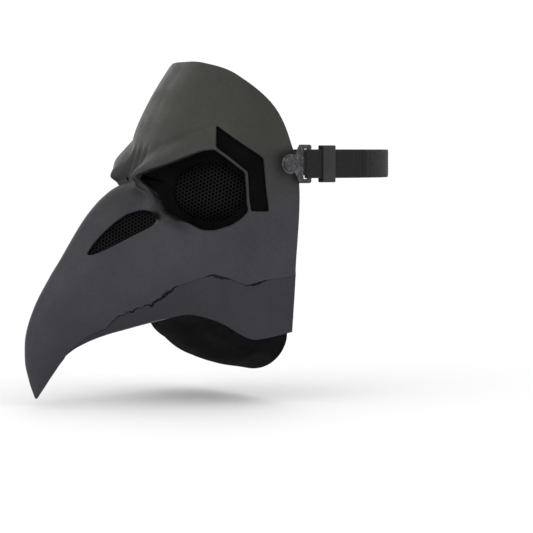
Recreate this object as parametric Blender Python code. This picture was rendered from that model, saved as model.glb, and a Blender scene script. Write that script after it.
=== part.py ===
"""A plague doctor half mask with a crow's beak, as the separate pieces that it is put together from.

The mask looks along -Y, +Z is up, and the wearer's left is +X. The origin lies midway between the two strap
rivets, on the mirror plane. Lengths are in millimetres here and become metres when a mesh is made.
"""

import math

import bmesh
import bpy
import numpy as np
from mathutils import Vector
from mathutils.bvhtree import BVHTree

MM = 0.001

# Overall sizes of the moulded mask
MASK_WIDTH = 160.0
MASK_DEPTH = 174.0
MASK_HEIGHT = 240.0

# Walls and clearances
WALL = 2.5
LIP = 0.8
GAP = 0.3
GLUE = 1.6
LINING_GAP = 2.0
LINER = 1.2
CUP_WALL = 1.3
CLOTH = 1.2
SEAM_STRIP = 1.5

# Foam
FOREHEAD_PAD = (66.0, 22.0)
FOREHEAD_PAD_BACK = 46.0
FOREHEAD_PAD_LEVEL = 61.0
CHEEK_PAD = 6.5

# Eye: the mesh dome's half axes, its height, and how far back its nasal and temporal ends lie
MESH_HALF = (25.5, 21.5)
MESH_CENTRE = (62.5, -5.0)
MESH_DOME = 6.0
MESH_ENDS = (10.0, 22.0)
CUP_DEPTH = 6.8
MESH_WALL = 1.0
MESH_GAP = 0.9

# Strap, its anchor plates and its sliders
STRAP_WIDTH = 20.0
STRAP_THICK = 1.4
STRAP_REAR = 113.0
STRAP_RUN_END = 60.0
STRAP_TAIL_END = 57.0
STRAP_OFF_RIM = 4.6
ANCHOR_THICK = 1.5
ANCHOR_BAR = (14.0, 17.0)
ANCHOR_SLOT = 3.4
ANCHOR_HEAD = 7.0
ANCHOR_MARGIN = 3.5
SLIDER_LENGTH = 10.0
SLIDER_AT = 30.0
SLIDER_WALL = 1.0
SLIDER_MARGIN = 3.0
RIVET_SHANK = 4.0
RIVET_HEAD = 11.0
RIVET_DOME = 2.0
SPACER = 9.0
WASHER = 12.0
WASHER_THICK = 1.0

# The skin runs through these rings, from the beak's tip to the rim. Each ring goes from the mirror plane
# down the left side: ridge, shoulder, brow line, eye line, cheek line, mouth line, jaw edge. The numbers are
# side, back and up from the bridge of the nose, for a mask of the sizes that the table itself spans.
RINGS = np.array(
    [
        [(0, -66.5, -151)] * 7,
        [(0, -70.9, -138), (2.6, -69.6, -138.3), (4, -67, -139), (4.3, -64.6, -139.5),
         (4, -62.6, -140), (3.4, -61, -140.4), (2.4, -60.2, -140.8)],
        [(0, -74.2, -122), (4, -72.4, -122.8), (6.5, -68, -124.5), (7.4, -63.6, -126.4),
         (7.2, -59.4, -128.2), (6.4, -56, -129.8), (5.2, -54.4, -130.8)],
        [(0, -73.5, -104), (5.2, -71, -105.6), (9, -66, -108.5), (10.6, -60.2, -112.3),
         (10.6, -54.6, -116.4), (9.6, -50, -120.3), (8.6, -49.2, -122.3)],
        [(0, -66.7, -84.8), (6.2, -64, -88), (11.2, -59.2, -94), (13.8, -53.6, -100.7),
         (14.3, -48.4, -107.1), (13.6, -43.8, -112.7), (12.2, -42.2, -115.9)],
        [(0, -56.6, -67.4), (7.2, -54.6, -71), (13.6, -50, -78.6), (17.6, -44.6, -87.6),
         (19.2, -39.2, -96.6), (18.5, -34.1, -105), (16.5, -32.2, -110.2)],
        [(0, -47, -52.5), (8, -44.8, -57), (15.6, -39.9, -65.6), (21, -33.7, -76.4),
         (23.8, -27.6, -87.3), (23.5, -21.7, -97.6), (20.5, -18.3, -105)],
        [(0, -37.5, -37.8), (8.6, -35.2, -42.6), (16.8, -30, -51.8), (23.6, -23.4, -64),
         (27.8, -16.6, -76), (28.5, -10.2, -88.2), (25.5, -5.8, -101.4)],
        [(0, -27.5, -23.5), (9.2, -25.4, -28.6), (17.4, -20.6, -39), (25.4, -13.4, -54),
         (32, -6.8, -70), (34, -0.2, -84.7), (31, 5.5, -98.1)],
        [(0, -16, -11.2), (9.8, -14, -15.6), (18.2, -9.4, -26.4), (26.8, -2.4, -41),
         (35.4, 4, -58), (41, 9.5, -74.9), (39, 17.1, -94.4)],
        [(0, -5, -3), (10.5, -2.4, -7), (19.5, 3, -16.5), (29.5, 10, -31),
         (40, 15, -49), (48.5, 19.7, -67.9), (48, 28.1, -91.7)],
        [(0, 7, 3), (11.5, 7.5, -0.5), (22, 11, -9), (34, 17.5, -23),
         (46.5, 24, -42), (55.5, 29.4, -63.7), (57, 38.2, -93.8)],
        [(0, 13, 14), (13, 13.5, 12.5), (28, 17, 6), (43, 24.5, -12),
         (54.5, 32.5, -36), (61.5, 38.9, -62.3), (64, 47.9, -98.5)],
        [(0, 17, 28), (16, 18, 27.5), (35, 24.5, 22), (52, 35, 4),
         (62, 43, -28), (66.5, 48, -66.2), (69, 57.2, -105.1)],
        [(0, 24.5, 45), (20, 26, 44.5), (42, 33.5, 39), (60, 47, 22),
         (68, 54.5, -15), (71, 57.6, -70), (72.5, 64.4, -108.4)],
        [(0, 35, 65.5), (23, 37.5, 64.5), (47.5, 47, 57), (66, 62, 38),
         (74, 69, -8), (74.5, 66.1, -68.6), (75, 73.1, -108)],
        [(0, 50, 87), (25.5, 53, 85.5), (52, 64.5, 76.5), (72, 86, 50),
         (79.5, 98, 4), (79, 96, -58), (77, 94, -104)],
    ],
    float,
)
LAST_RING = len(RINGS) - 1
JAW_EDGE = 6.0
TIP_RING = 0.15
HOLLOW_FROM = 2.4
CHIN_FROM = 9.0
CHIN_STEP = 0.1
KEEL = 0.12
BROW_RINGS = (10.5, 13.5)
BROW_STEP = 0.25
BROW_LINED = 4.5
BROW_LINED_BELOW = 9.0
RIVET_POINT = np.array([0.0, 88.0, 14.0])
SPAN = RINGS.reshape(-1, 3).max(axis=0) - RINGS.reshape(-1, 3).min(axis=0)
SCALE = np.array([MASK_WIDTH / (2 * SPAN[0]), MASK_DEPTH / SPAN[1], MASK_HEIGHT / SPAN[2]])

# Openings are drawn on an upright plane that faces 60 degrees round from the front: across, up.
SIGHT = math.radians(60)
ACROSS = np.array([math.cos(SIGHT), math.sin(SIGHT), 0.0])
TOWARDS = np.array([math.sin(SIGHT), -math.cos(SIGHT), 0.0])
UP = np.array([0.0, 0.0, 1.0])
EYE_OPENING = [
    (13.5, 5.5), (23, 9.5), (33.3, 13.3), (42, 17), (49, 19.9), (57.6, 23.2), (66, 24.2), (76.5, 16),
    (87, 8), (88, -4), (88.3, -13), (89.3, -18.8), (84.5, -24), (77.6, -28.4), (66.2, -31.9),
    (57.7, -31.9), (49, -27.7), (38.3, -23.3), (30.5, -18), (27, -11.5), (22, -4.2), (14, 1.4),
]
TEMPLE_WINDOW = [(67, 41), (100, 18), (102, -4), (104, -19), (91.4, -18.8), (90.2, -10), (89.2, 8.6), (67.3, 25.8)]
NOSTRIL = [
    (-22.7, -48.6), (-17.7, -41), (-11.5, -34.1), (-2.7, -25.9), (4.8, -20.9), (13.6, -18.1),
    (19.8, -18.5), (24.8, -20.9), (26, -23.8), (23, -29), (16.7, -32.2), (10.4, -35.4), (1, -40.3),
    (-7.7, -44.7), (-15.2, -48.2), (-20.3, -49.4),
]
# The parting line of the two mouldings, seen from the side: back, up.
MOUTH = [
    (-62, -150), (-51, -127), (-46.4, -115.6), (-33.8, -105), (-23.2, -101), (-17.5, -93.1),
    (-3.7, -86.7), (6.4, -82.4), (14.6, -73.3), (20.9, -70.1), (39.3, -62.4), (48.3, -65.1),
    (60, -70.4), (73.3, -66.9), (140, -60),
]
CHIN_LINE = [(20.5, -98.5), (30, -99), (37, -108), (46, -116.5), (59, -124), (72, -130), (85, -134), (98, -135)]


def smooth(low, high, value):
    """0 below low, 1 above high, with a soft change between."""
    share = np.clip((value - low) / (high - low), 0, 1)
    return share * share * (3 - 2 * share)


def spline(table, at, mirrored=False):
    """A curve through the table's first axis, at the places in at; mirrored starts square to the mirror plane."""
    start = table[1] * np.array([-1, 1, 1]) if mirrored else 2 * table[0] - table[1]
    rows = np.concatenate([[start], table, [2 * table[-1] - table[-2]]])
    at = np.clip(np.asarray(at, float), 0, len(table) - 1 - 1e-9)
    index = np.floor(at).astype(int)
    part = (at - index).reshape((-1,) + (1,) * (table.ndim - 1))
    a, b, c, d = rows[index], rows[index + 1], rows[index + 2], rows[index + 3]
    bend = (2 * a - 5 * b + 4 * c - d) * part**2 + (3 * b - a - 3 * c + d) * part**3
    return 0.5 * (2 * b + (c - a) * part + bend)


def features(points, lined):
    """The brows, the frown's folds and the crease at the bridge. Lined, it is the plainer form of the inside."""
    side, up = points[..., 0], points[..., 2]
    inner = 1 - smooth(16, 27, side)
    brow_level = 9 + 0.34 * (side - 20) - 2.6 * inner
    below = BROW_LINED_BELOW if lined else 6 + 1.5 * smooth(20, 32, side)
    rise = np.where(up > brow_level, (up - brow_level) / 11.5, (up - brow_level) / below)
    reach = BROW_LINED if lined else 10.5 + 2.5 * inner
    brow = reach * smooth(7, 17, side) * (1 - 0.75 * smooth(28, 66, side)) * np.exp(-(rise**2))
    turn = math.radians(50) * smooth(20, 60, side)
    fold = 1.2 * np.cos((side - 5.3) * math.tau / 10.8) * (1 - smooth(10, 16, side))
    fold = fold * smooth(1, 6, up) * (1 - smooth(19, 30, up))
    crease = -2.0 * np.exp(-(((up - 1.5) / 3.0) ** 2)) * (1 - smooth(12, 22, side))
    forward = brow * np.cos(turn) + (0 if lined else fold + crease)
    return points + np.stack([brow * np.sin(turn), -forward, 0 * up], axis=-1)


def to_frame(points):
    return (np.asarray(points, float) - RIVET_POINT) * SCALE


def skin(rings, lines, lined=False):
    """Points of the skin's left half, in the part's frame: one row for each ring."""
    rows = spline(RINGS, rings)
    grid = spline(np.swapaxes(rows, 0, 1), lines, mirrored=True)
    return to_frame(features(np.swapaxes(grid, 0, 1), lined))


def layer(rings, lines, depth):
    """The skin moved inwards by depth, square to itself."""
    rings, lines = np.asarray(rings, float), np.asarray(lines, float)
    step = 0.05
    back = np.clip(rings - step, TIP_RING, LAST_RING)
    ahead = np.clip(rings + step, TIP_RING, LAST_RING)
    along = skin(ahead, lines, True) - skin(back, lines, True)
    left = np.clip(lines - step, 0, JAW_EDGE)
    right = np.clip(lines + step, 0, JAW_EDGE)
    around = skin(rings, right, True) - skin(rings, left, True)
    along[:, lines == 0, 0] = 0
    around[:, lines == 0, 1:] = 0
    inward = np.cross(along, around)
    inward /= np.linalg.norm(inward, axis=-1, keepdims=True)
    return skin(rings, lines, True) + inward * depth


def material(name, colour, roughness, metallic=0.0):
    made = bpy.data.materials.new(name)
    made.use_nodes = True
    shader = made.node_tree.nodes["Principled BSDF"]
    shader.inputs["Base Color"].default_value = (*colour, 1.0)
    shader.inputs["Roughness"].default_value = roughness
    shader.inputs["Metallic"].default_value = metallic
    return made


def mesh_object(name, points, faces, look=None, sharp=35):
    """A closed mesh from points in millimetres. One with no material is a cutter."""
    mesh = bpy.data.meshes.new(name)
    mesh.from_pydata([Vector(p) * MM for p in np.asarray(points).reshape(-1, 3)], [], faces)
    shaped = bmesh.new()
    shaped.from_mesh(mesh)
    bmesh.ops.recalc_face_normals(shaped, faces=shaped.faces)
    shaped.to_mesh(mesh)
    shaped.free()
    mesh.shade_smooth()
    mesh.set_sharp_from_angle(angle=math.radians(sharp))
    made = bpy.data.objects.new(name, mesh)
    if look is None:
        made.hide_render = True
        made.display_type = "WIRE"
        cutters.objects.link(made)
    else:
        mesh.materials.append(look)
        parts.objects.link(made)
    return made


def flipped(points):
    return np.asarray(points) * np.array([-1, 1, 1])


def cut(target, cutter, operation="DIFFERENCE"):
    modifier = target.modifiers.new(operation.lower() + "_" + cutter.name, "BOOLEAN")
    modifier.operation = operation
    modifier.object = cutter
    return target


def tube_faces(rows, size):
    """Quads between closed loops of points, each loop joined to the next."""
    faces = []
    for row in range(rows - 1):
        for k in range(size):
            nxt = (k + 1) % size
            faces.append((row * size + k, row * size + nxt, (row + 1) * size + nxt, (row + 1) * size + k))
    return faces


def loft(name, loops, look=None):
    """A closed solid through flat-ended loops of the same number of points."""
    loops = np.asarray(loops, float)
    rows, size = loops.shape[:2]
    ends = [tuple(range(size)), tuple(range((rows - 1) * size, rows * size))]
    return mesh_object(name, loops, tube_faces(rows, size) + ends, look)


def hollow_tube(name, loops, look=None):
    """A closed solid whose last loop joins its first: a tube with a wall."""
    loops = np.asarray(loops, float)
    rows, size = loops.shape[:2]
    faces = [tuple(k % (rows * size) for k in face) for face in tube_faces(rows + 1, size)]
    return mesh_object(name, loops, faces, look)


def sheet(name, outer, inner, look=None):
    """A closed solid between two grids of the same shape."""
    rows, columns = outer.shape[:2]
    count = rows * columns
    faces = []
    for r in range(rows - 1):
        for c in range(columns - 1):
            quad = (r * columns + c, r * columns + c + 1, (r + 1) * columns + c + 1, (r + 1) * columns + c)
            faces.append(quad)
            faces.append(tuple(count + k for k in reversed(quad)))
    border = [r * columns for r in range(rows)]
    border += [(rows - 1) * columns + c for c in range(1, columns)]
    border += [r * columns + columns - 1 for r in range(rows - 2, -1, -1)]
    border += [c for c in range(columns - 2, 0, -1)]
    for k, a in enumerate(border):
        b = border[(k + 1) % len(border)]
        faces.append((a, b, count + b, count + a))
    return mesh_object(name, np.concatenate([outer.reshape(-1, 3), inner.reshape(-1, 3)]), faces, look)


def patch(name, rings, lines, depths, look, mirror):
    """A piece of even thickness that follows the skin at a depth."""
    outer, inner = layer(rings, lines, depths[0]), layer(rings, lines, depths[1])
    if mirror:
        outer, inner = flipped(outer), flipped(inner)
    return sheet(name, outer, inner, look)


def envelope(name, depth, look=None, opened=False):
    """The whole form filled solid, at a depth under the skin. Opened, it runs out past the rim and the chin."""
    first = HOLLOW_FROM if depth else TIP_RING
    brow_step = BROW_STEP if depth else BROW_STEP / 2
    rings = np.concatenate([[first], np.arange(math.ceil(first * 2 + 0.1) / 2, BROW_RINGS[0], 0.5),
                            np.arange(*BROW_RINGS, brow_step), np.arange(BROW_RINGS[1], LAST_RING + 0.1, 0.5)])
    if opened:
        rings = np.sort(np.append(rings, CHIN_FROM + CHIN_STEP))
    lines = np.linspace(0, JAW_EDGE, 16 if depth else 25)
    half = layer(rings, lines, depth) if depth else skin(rings, lines)
    floor = half[:, -1:].copy()
    if depth:
        floor[..., 2] += depth
        half[:, -1, 2] = floor[:, 0, 2]
    if opened:
        chin = rings > CHIN_FROM
        floor[chin, :, 2] -= 45
        rim = half[-1] + (half[-1] - half[-2]) * 1.2
        half = np.concatenate([half, rim[None]])
        low = floor[-1] + (floor[-1] - floor[-2]) * 1.2
        floor = np.concatenate([floor, low[None]])
    shares = (0.98, 0.5, 0.0) if opened else (0.5, 0.0)
    lower = [floor * np.array([share, 1, 1]) - floor[..., :1] * UP * KEEL * (1 - share**2) for share in shares]
    left, centre = np.concatenate([half] + lower[:-1], axis=1), lower[-1]
    right = flipped(left)[:, :0:-1]
    loops = np.concatenate([left, centre, right], axis=1)
    rows, size = loops.shape[:2]
    faces = tube_faces(rows, size)
    for base in (0, (rows - 1) * size):
        for k in range(1, size // 2):
            faces.append((base + k, base + k + 1, base + (size - k - 1) % size, base + size - k))
        faces.append((base, base + 1, base + size - 1))
    return mesh_object(name, loops, [tuple(dict.fromkeys(face)) for face in faces], look)


def grown(outline, amount):
    """An outline moved outwards square to itself, in its own plane."""
    points = np.asarray(outline, float)
    ahead, behind = np.roll(points, -1, axis=0) - points, points - np.roll(points, 1, axis=0)
    sides = [v / np.linalg.norm(v, axis=1, keepdims=True) for v in (ahead, behind)]
    both = sides[0] + sides[1]
    both /= np.linalg.norm(both, axis=1, keepdims=True)
    out = np.stack([-both[:, 1], both[:, 0]], axis=1)
    share = np.clip(np.einsum("ij,ij->i", both, sides[0]), 0.5, 1)
    return points + out * (amount / share)[:, None]


def on_sight(outline, towards):
    """Points of the sight plane's outline, at a distance towards the viewer, in the part's frame."""
    outline = np.asarray(outline, float)
    reach = np.broadcast_to(towards, len(outline))
    return to_frame(outline[:, :1] * ACROSS + reach[:, None] * TOWARDS + outline[:, 1:] * UP)


def sight_cutter(name, outline, near, mirror):
    loops = np.array([on_sight(outline, near), on_sight(outline, 90.0)])
    return loft(name, flipped(loops) if mirror else loops)


def side_cutter(name, outline, low=-150.0, high=150.0):
    """An outline seen from the side, right through the mask."""
    outline = np.asarray(outline, float)
    loops = [to_frame(np.insert(outline, 0, side, axis=1)) for side in (low, high)]
    return loft(name, loops)


def skin_reach(outline):
    """How far towards the viewer the skin lies at each point of a sight plane's outline."""
    grid = skin(np.arange(1, LAST_RING + 0.05, 0.25), np.linspace(0, JAW_EDGE, 31))
    rows, columns = grid.shape[:2]
    quads = [(r * columns + c, r * columns + c + 1, (r + 1) * columns + c + 1, (r + 1) * columns + c)
             for r in range(rows - 1) for c in range(columns - 1)]
    tree = BVHTree.FromPolygons([Vector(p) for p in grid.reshape(-1, 3)], quads)
    found = []
    for far, near in zip(on_sight(outline, 90.0), on_sight(outline, 0.0)):
        way = Vector(near - far).normalized()
        hit = tree.ray_cast(Vector(far), way)[0]
        share = (hit - Vector(far)).length / np.linalg.norm(near - far)
        found.append(90.0 * (1 - share))
    return np.array(found)


def cylinder(name, radius, low, high, look=None, at=(0.0, 0.0), steps=20):
    """A round bar along X, between two distances from the mirror plane."""
    angles = np.arange(steps) * math.tau / steps
    loops = [np.stack([np.full(steps, x), at[0] + radius * np.cos(angles), at[1] + radius * np.sin(angles)], 1)
             for x in (low, high)]
    return loft(name, loops, look)


def turned(name, profile, look, steps=20):
    """A turned piece on the X axis: profile is (distance along X, radius), from one end to the other."""
    angles = np.arange(steps) * math.tau / steps
    loops = [np.stack([np.full(steps, x), r * np.cos(angles), r * np.sin(angles)], 1) for x, r in profile]
    return loft(name, loops, look)


def box(name, low, high, look=None):
    (x0, y0, z0), (x1, y1, z1) = low, high
    loops = [[(x, y0, z0), (x, y1, z0), (x, y1, z1), (x, y0, z1)] for x in (x0, x1)]
    return loft(name, loops, look)


# The mouldings --------------------------------------------------------------------------------------------


def build_face_shell(looks):
    """The upper moulding: forehead, brows, cheeks and upper beak, with its openings."""
    shell = envelope("face_shell", 0.0, looks["shell"])
    cut(shell, envelope("hollow_form", WALL, opened=True))
    below = MOUTH + [(140, -170), (-62, -170)]
    cut(shell, side_cutter("jaw_side", below))
    for side, mirror in SIDES:
        cut(shell, sight_cutter(side + "_eye_cutter", EYE_OPENING, -6.0, mirror))
        cut(shell, sight_cutter(side + "_window_cutter", TEMPLE_WINDOW, -6.0, mirror))
        cut(shell, sight_cutter(side + "_nostril_cutter", NOSTRIL, 4.0, mirror))
    cut(shell, cylinder("rivet_bore", RIVET_SHANK / 2 + GAP, -MASK_WIDTH, MASK_WIDTH))


def build_lower_jaw(looks):
    """The lower moulding, set back behind the upper one's lip, with the floor of the beak."""
    jaw = envelope("lower_jaw", LIP, looks["jaw"])
    cut(jaw, envelope("jaw_hollow_form", LIP + WALL, opened=True))
    top = [(back, up - GAP * 1.5) for back, up in MOUTH]
    cut(jaw, side_cutter("jaw_form", top + [(140, -170), (-62, -170)]), "INTERSECT")


def build_seam_strips(looks):
    """A strip behind each side of the parting line, which the two mouldings are glued to."""
    depth = LIP + WALL + GAP
    for side, mirror in SIDES:
        rings = np.linspace(5.5, 15.2, 18)
        patch(side + "_seam_strip", rings, [4.72, 5, 5.28], (depth, depth + SEAM_STRIP), looks["strip"], mirror)


def build_eyes(looks):
    """A black cup behind each eye opening, with a domed mesh in it."""
    opening = np.array(EYE_OPENING[1:-1], float)
    centre = np.array(MESH_CENTRE)
    ray = opening - centre
    angle = np.arctan2(ray[:, 1] / MESH_HALF[1], ray[:, 0] / MESH_HALF[0])
    seat = centre + np.stack([np.cos(angle), np.sin(angle)], axis=1) * MESH_HALF
    lean = (seat[:, 0] - centre[0]) / (2 * MESH_HALF[0]) + 0.5
    seat_reach = MESH_ENDS[0] + lean * (MESH_ENDS[1] - MESH_ENDS[0])
    behind = skin_reach(opening) - CUP_DEPTH
    for side, mirror in SIDES:
        around = grown(opening, CUP_WALL)
        outside = [on_sight(around, 70.0), on_sight(around, behind - CUP_WALL * 1.3),
                   on_sight(grown(seat, CUP_WALL), seat_reach - CUP_WALL * 1.3)]
        inside = [on_sight(seat, seat_reach), on_sight(opening, behind), on_sight(opening, 70.0)]
        loops = np.array(outside + inside)
        if mirror:
            loops = flipped(loops)
        cup = hollow_tube(side + "_eye_cup", loops, looks["liner"])
        cut(cup, lining_form(), "INTERSECT")
        build_eye_mesh(side, mirror, centre, looks)


def build_eye_mesh(side, mirror, centre, looks):
    """The domed eye mesh as a plain dished sheet."""
    shares = (0.3, 0.6, 0.85, 1.0)
    turns = np.arange(28) * math.tau / 28
    half = np.array(MESH_HALF) - MESH_GAP
    loops = []
    for share, back in [(share, 0.0) for share in shares] + [(share, MESH_WALL) for share in reversed(shares)]:
        flat = centre + np.stack([np.cos(turns), np.sin(turns)], axis=1) * half * share
        lean = (flat[:, 0] - centre[0]) / (2 * MESH_HALF[0]) + 0.5
        reach = MESH_ENDS[0] + lean * (MESH_ENDS[1] - MESH_ENDS[0]) + MESH_DOME * (1 - share**2)
        loops.append(on_sight(flat, reach - back))
    loft(side + "_eye_mesh", flipped(loops) if mirror else loops, looks["mesh"])


def lining_form():
    """The room inside the upper moulding, less a small gap: what the liners and pads are trimmed to."""
    made = bpy.data.objects.get("lining_form")
    return made or envelope("lining_form", WALL + LINING_GAP, opened=True)


def build_liners(looks):
    """Black sheets behind the temple windows and the nostrils."""
    depths = (WALL + LINING_GAP, WALL + LINING_GAP + LINER)
    for side, mirror in SIDES:
        rings, lines = np.linspace(12.2, LAST_RING, 14), np.linspace(1.8, 4.6, 12)
        liner = patch(side + "_temple_liner", rings, lines, depths, looks["liner"], mirror)
        cut(liner, sight_cutter(side + "_temple_form", grown(TEMPLE_WINDOW, 3.2), -10.0, mirror), "INTERSECT")
        around_eye = grown(EYE_OPENING, CUP_WALL + GAP)
        cut(liner, sight_cutter(side + "_temple_clear", around_eye, -12.0, mirror))
        rings, lines = np.linspace(5.5, 12.5, 15), np.linspace(0.6, 4.0, 12)
        liner = patch(side + "_nostril_mesh", rings, lines, depths, looks["mesh"], mirror)
        cut(liner, sight_cutter(side + "_nostril_form", grown(NOSTRIL, 2.2), 0.0, mirror), "INTERSECT")


def build_pads(looks):
    """Foam at the forehead, with a flat back, and at each cheek."""
    half, rise = FOREHEAD_PAD[0] / 2, FOREHEAD_PAD[1] / 2
    back = to_frame((0, FOREHEAD_PAD_BACK, FOREHEAD_PAD_LEVEL))
    low = (-half, back[1] - 40, back[2] - rise)
    pad = box("forehead_pad", low, (half, back[1], back[2] + rise), looks["foam"])
    cut(pad, lining_form(), "INTERSECT")
    depths = (WALL + LINING_GAP, WALL + LINING_GAP + CHEEK_PAD)
    for side, mirror in SIDES:
        patch(side + "_cheek_pad", np.linspace(12.9, 15.2, 6), np.linspace(4.42, 4.66, 4), depths,
              looks["foam"], mirror)


def build_chin_cover(looks):
    """Cloth glued inside the lower moulding's edge, hanging under the chin."""
    rings = np.linspace(CHIN_FROM + CHIN_STEP + 0.2, LAST_RING - 0.1, 15)
    depth = LIP + WALL + GLUE
    chin = spline(np.insert(np.array(CHIN_LINE, float), 0, 0, axis=1),
                  np.linspace(0, len(CHIN_LINE) - 1, len(rings)))
    sheets = []
    for back in (0.0, CLOTH):
        edge = layer(rings, [5.7, 5.95], depth + back)
        low = to_frame(chin) + np.array([0, 0, back])
        hem = edge[:, 1]
        belly = []
        for share in (0.12, 0.35, 0.62, 0.85, 1.0):
            across = math.cos(share * math.pi / 2)
            down = math.sin(share * math.pi / 2)
            side = hem[:, 0] * across
            belly.append(np.stack([side, hem[:, 1] + (low[:, 1] - hem[:, 1]) * share,
                                   hem[:, 2] + (low[:, 2] - hem[:, 2]) * down], axis=1))
        half = np.concatenate([edge, np.swapaxes(belly, 0, 1)], axis=1)
        sheets.append(np.concatenate([half, flipped(half)[:, -2::-1]], axis=1))
    sheet("chin_cover", sheets[0], sheets[1], looks["cloth"])


# The strap ------------------------------------------------------------------------------------------------


def run_centre():
    """Distance from the mirror plane to the middle of the doubled strap."""
    return MASK_WIDTH / 2 + STRAP_OFF_RIM


def layer_offset():
    return ANCHOR_THICK / 2 + GAP + STRAP_THICK / 2


def inner_side(radius):
    """The smallest distance from the mirror plane to the moulding's inner face round the rivet."""
    grid = layer(np.arange(13, LAST_RING + 0.05, 0.25), np.linspace(2.4, 5, 27), WALL).reshape(-1, 3)
    near = np.hypot(grid[:, 1], grid[:, 2]) < radius + 2
    return grid[near, 0].min()


def outer_side(radius):
    grid = skin(np.arange(13, LAST_RING + 0.05, 0.25), np.linspace(2.4, 5, 27)).reshape(-1, 3)
    near = np.hypot(grid[:, 1], grid[:, 2]) < radius + 2
    return grid[near, 0].max()


def build_rivets(looks):
    """At each temple, a rivet through the moulding, with a washer inside and a spacer under the anchor plate."""
    plate = run_centre() - ANCHOR_THICK / 2
    washer = inner_side(WASHER / 2) - GAP
    shank, bore = RIVET_SHANK / 2, RIVET_SHANK / 2 + GAP
    head = run_centre() + ANCHOR_THICK / 2 + GAP
    tail = washer - WASHER_THICK - GAP
    for side, mirror in SIDES:
        sign = -1 if mirror else 1
        turned(side + "_strap_rivet",
               [(sign * x, r) for x, r in ((tail - 1.2, 2.6), (tail - 0.8, 3.6), (tail, 4.0), (tail, shank),
                                           (head, shank), (head, RIVET_HEAD / 2),
                                           (head + RIVET_DOME * 0.55, RIVET_HEAD * 0.42),
                                           (head + RIVET_DOME, RIVET_HEAD * 0.2))], looks["metal"])
        ring(side + "_rivet_washer", bore, WASHER / 2, sign * (washer - WASHER_THICK), sign * washer,
             looks["metal"])
        ring(side + "_rivet_spacer", bore, SPACER / 2, sign * (outer_side(SPACER / 2) + LINING_GAP),
             sign * (plate - GAP), looks["plastic"])


def ring(name, inner, outer, low, high, look, steps=20):
    """A flat ring on the X axis."""
    angles = np.arange(steps) * math.tau / steps
    circle = np.stack([0 * angles, np.cos(angles), np.sin(angles)], axis=1)
    corners = ((low, inner), (high, inner), (high, outer), (low, outer))
    return hollow_tube(name, [circle * r + np.array([x, 0, 0]) for x, r in corners], look)


def build_anchors(looks):
    """Flat plates that turn on the rivets, each with a slot for the strap."""
    half = STRAP_WIDTH / 2 + ANCHOR_MARGIN
    back = ANCHOR_BAR[1]
    around = np.linspace(math.radians(60), math.radians(300), 17)
    outline = [(ANCHOR_HEAD * math.cos(a), ANCHOR_HEAD * math.sin(a)) for a in around]
    slot = ANCHOR_BAR[0] - ANCHOR_SLOT
    outline += [(slot - 3, -half), (back - 1.5, -half), (back, -half + 1.5), (back, half - 1.5),
                (back - 1.5, half), (slot - 3, half)]
    for side, mirror in SIDES:
        sign = -1 if mirror else 1
        faces = [sign * (run_centre() - ANCHOR_THICK / 2), sign * (run_centre() + ANCHOR_THICK / 2)]
        plate = loft(side + "_strap_anchor", [[(x, y, z) for y, z in outline] for x in faces], looks["metal"])
        reach = (sign * (run_centre() - 5), sign * (run_centre() + 5))
        cut(plate, cylinder(side + "_anchor_bore", RIVET_SHANK / 2 + GAP, *reach))
        tall = STRAP_WIDTH / 2 + 0.5
        cut(plate, box(side + "_anchor_slot", (min(reach), slot, -tall), (max(reach), ANCHOR_BAR[0], tall)))


def strap_line():
    """The middle of the strap seen from above, from its left tail round the head to its right tail."""
    centre, off = run_centre(), layer_offset()
    fold_at = ANCHOR_BAR[0] + 0.2
    line = [(centre + off, STRAP_TAIL_END), (centre + off, SLIDER_AT)]
    for angle in np.linspace(0, math.pi, 9):
        line.append((centre + off * math.cos(angle), fold_at - off * math.sin(angle)))
    line.append((centre - off, SLIDER_AT))
    for angle in np.linspace(0, math.pi / 2, 15):
        line.append(((centre - off) * math.cos(angle),
                     STRAP_RUN_END + (STRAP_REAR - STRAP_RUN_END) * math.sin(angle)))
    line = np.array(line)
    return np.concatenate([line, (line * np.array([-1, 1]))[-2::-1]])


def build_strap(looks):
    """One elastic band: folded round each anchor's bar, its tails on the outside."""
    line = strap_line()
    ahead = np.gradient(line, axis=0)
    ahead /= np.linalg.norm(ahead, axis=1, keepdims=True)
    out = np.stack([ahead[:, 1], -ahead[:, 0]], axis=1) * STRAP_THICK / 2
    tall = STRAP_WIDTH / 2
    loops = []
    for point, side in zip(line, out):
        a, b = point + side, point - side
        loops.append([(*a, -tall), (*a, tall), (*b, tall), (*b, -tall)])
    loft("head_strap", loops, looks["elastic"])


def build_sliders(looks):
    """A keeper on each doubled run, with a bar between the two layers."""
    centre, off = run_centre(), layer_offset()
    slot = STRAP_THICK / 2 + GAP
    tall = STRAP_WIDTH / 2 + GAP
    half = SLIDER_LENGTH / 2
    for side, mirror in SIDES:
        sign = -1 if mirror else 1
        reach = off + slot + SLIDER_WALL
        xs = sorted((sign * (centre - reach), sign * (centre + reach)))
        margin = STRAP_WIDTH / 2 + SLIDER_MARGIN
        keeper = box(side + "_slider", (xs[0], SLIDER_AT - half, -margin), (xs[1], SLIDER_AT + half, margin),
                     looks["plastic"])
        for which, at in (("inner", centre - off), ("outer", centre + off)):
            xs = sorted((sign * (at - slot), sign * (at + slot)))
            cut(keeper, box(f"{side}_{which}_slot", (xs[0], SLIDER_AT - half - 2, -tall),
                            (xs[1], SLIDER_AT + half + 2, tall)))


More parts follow.
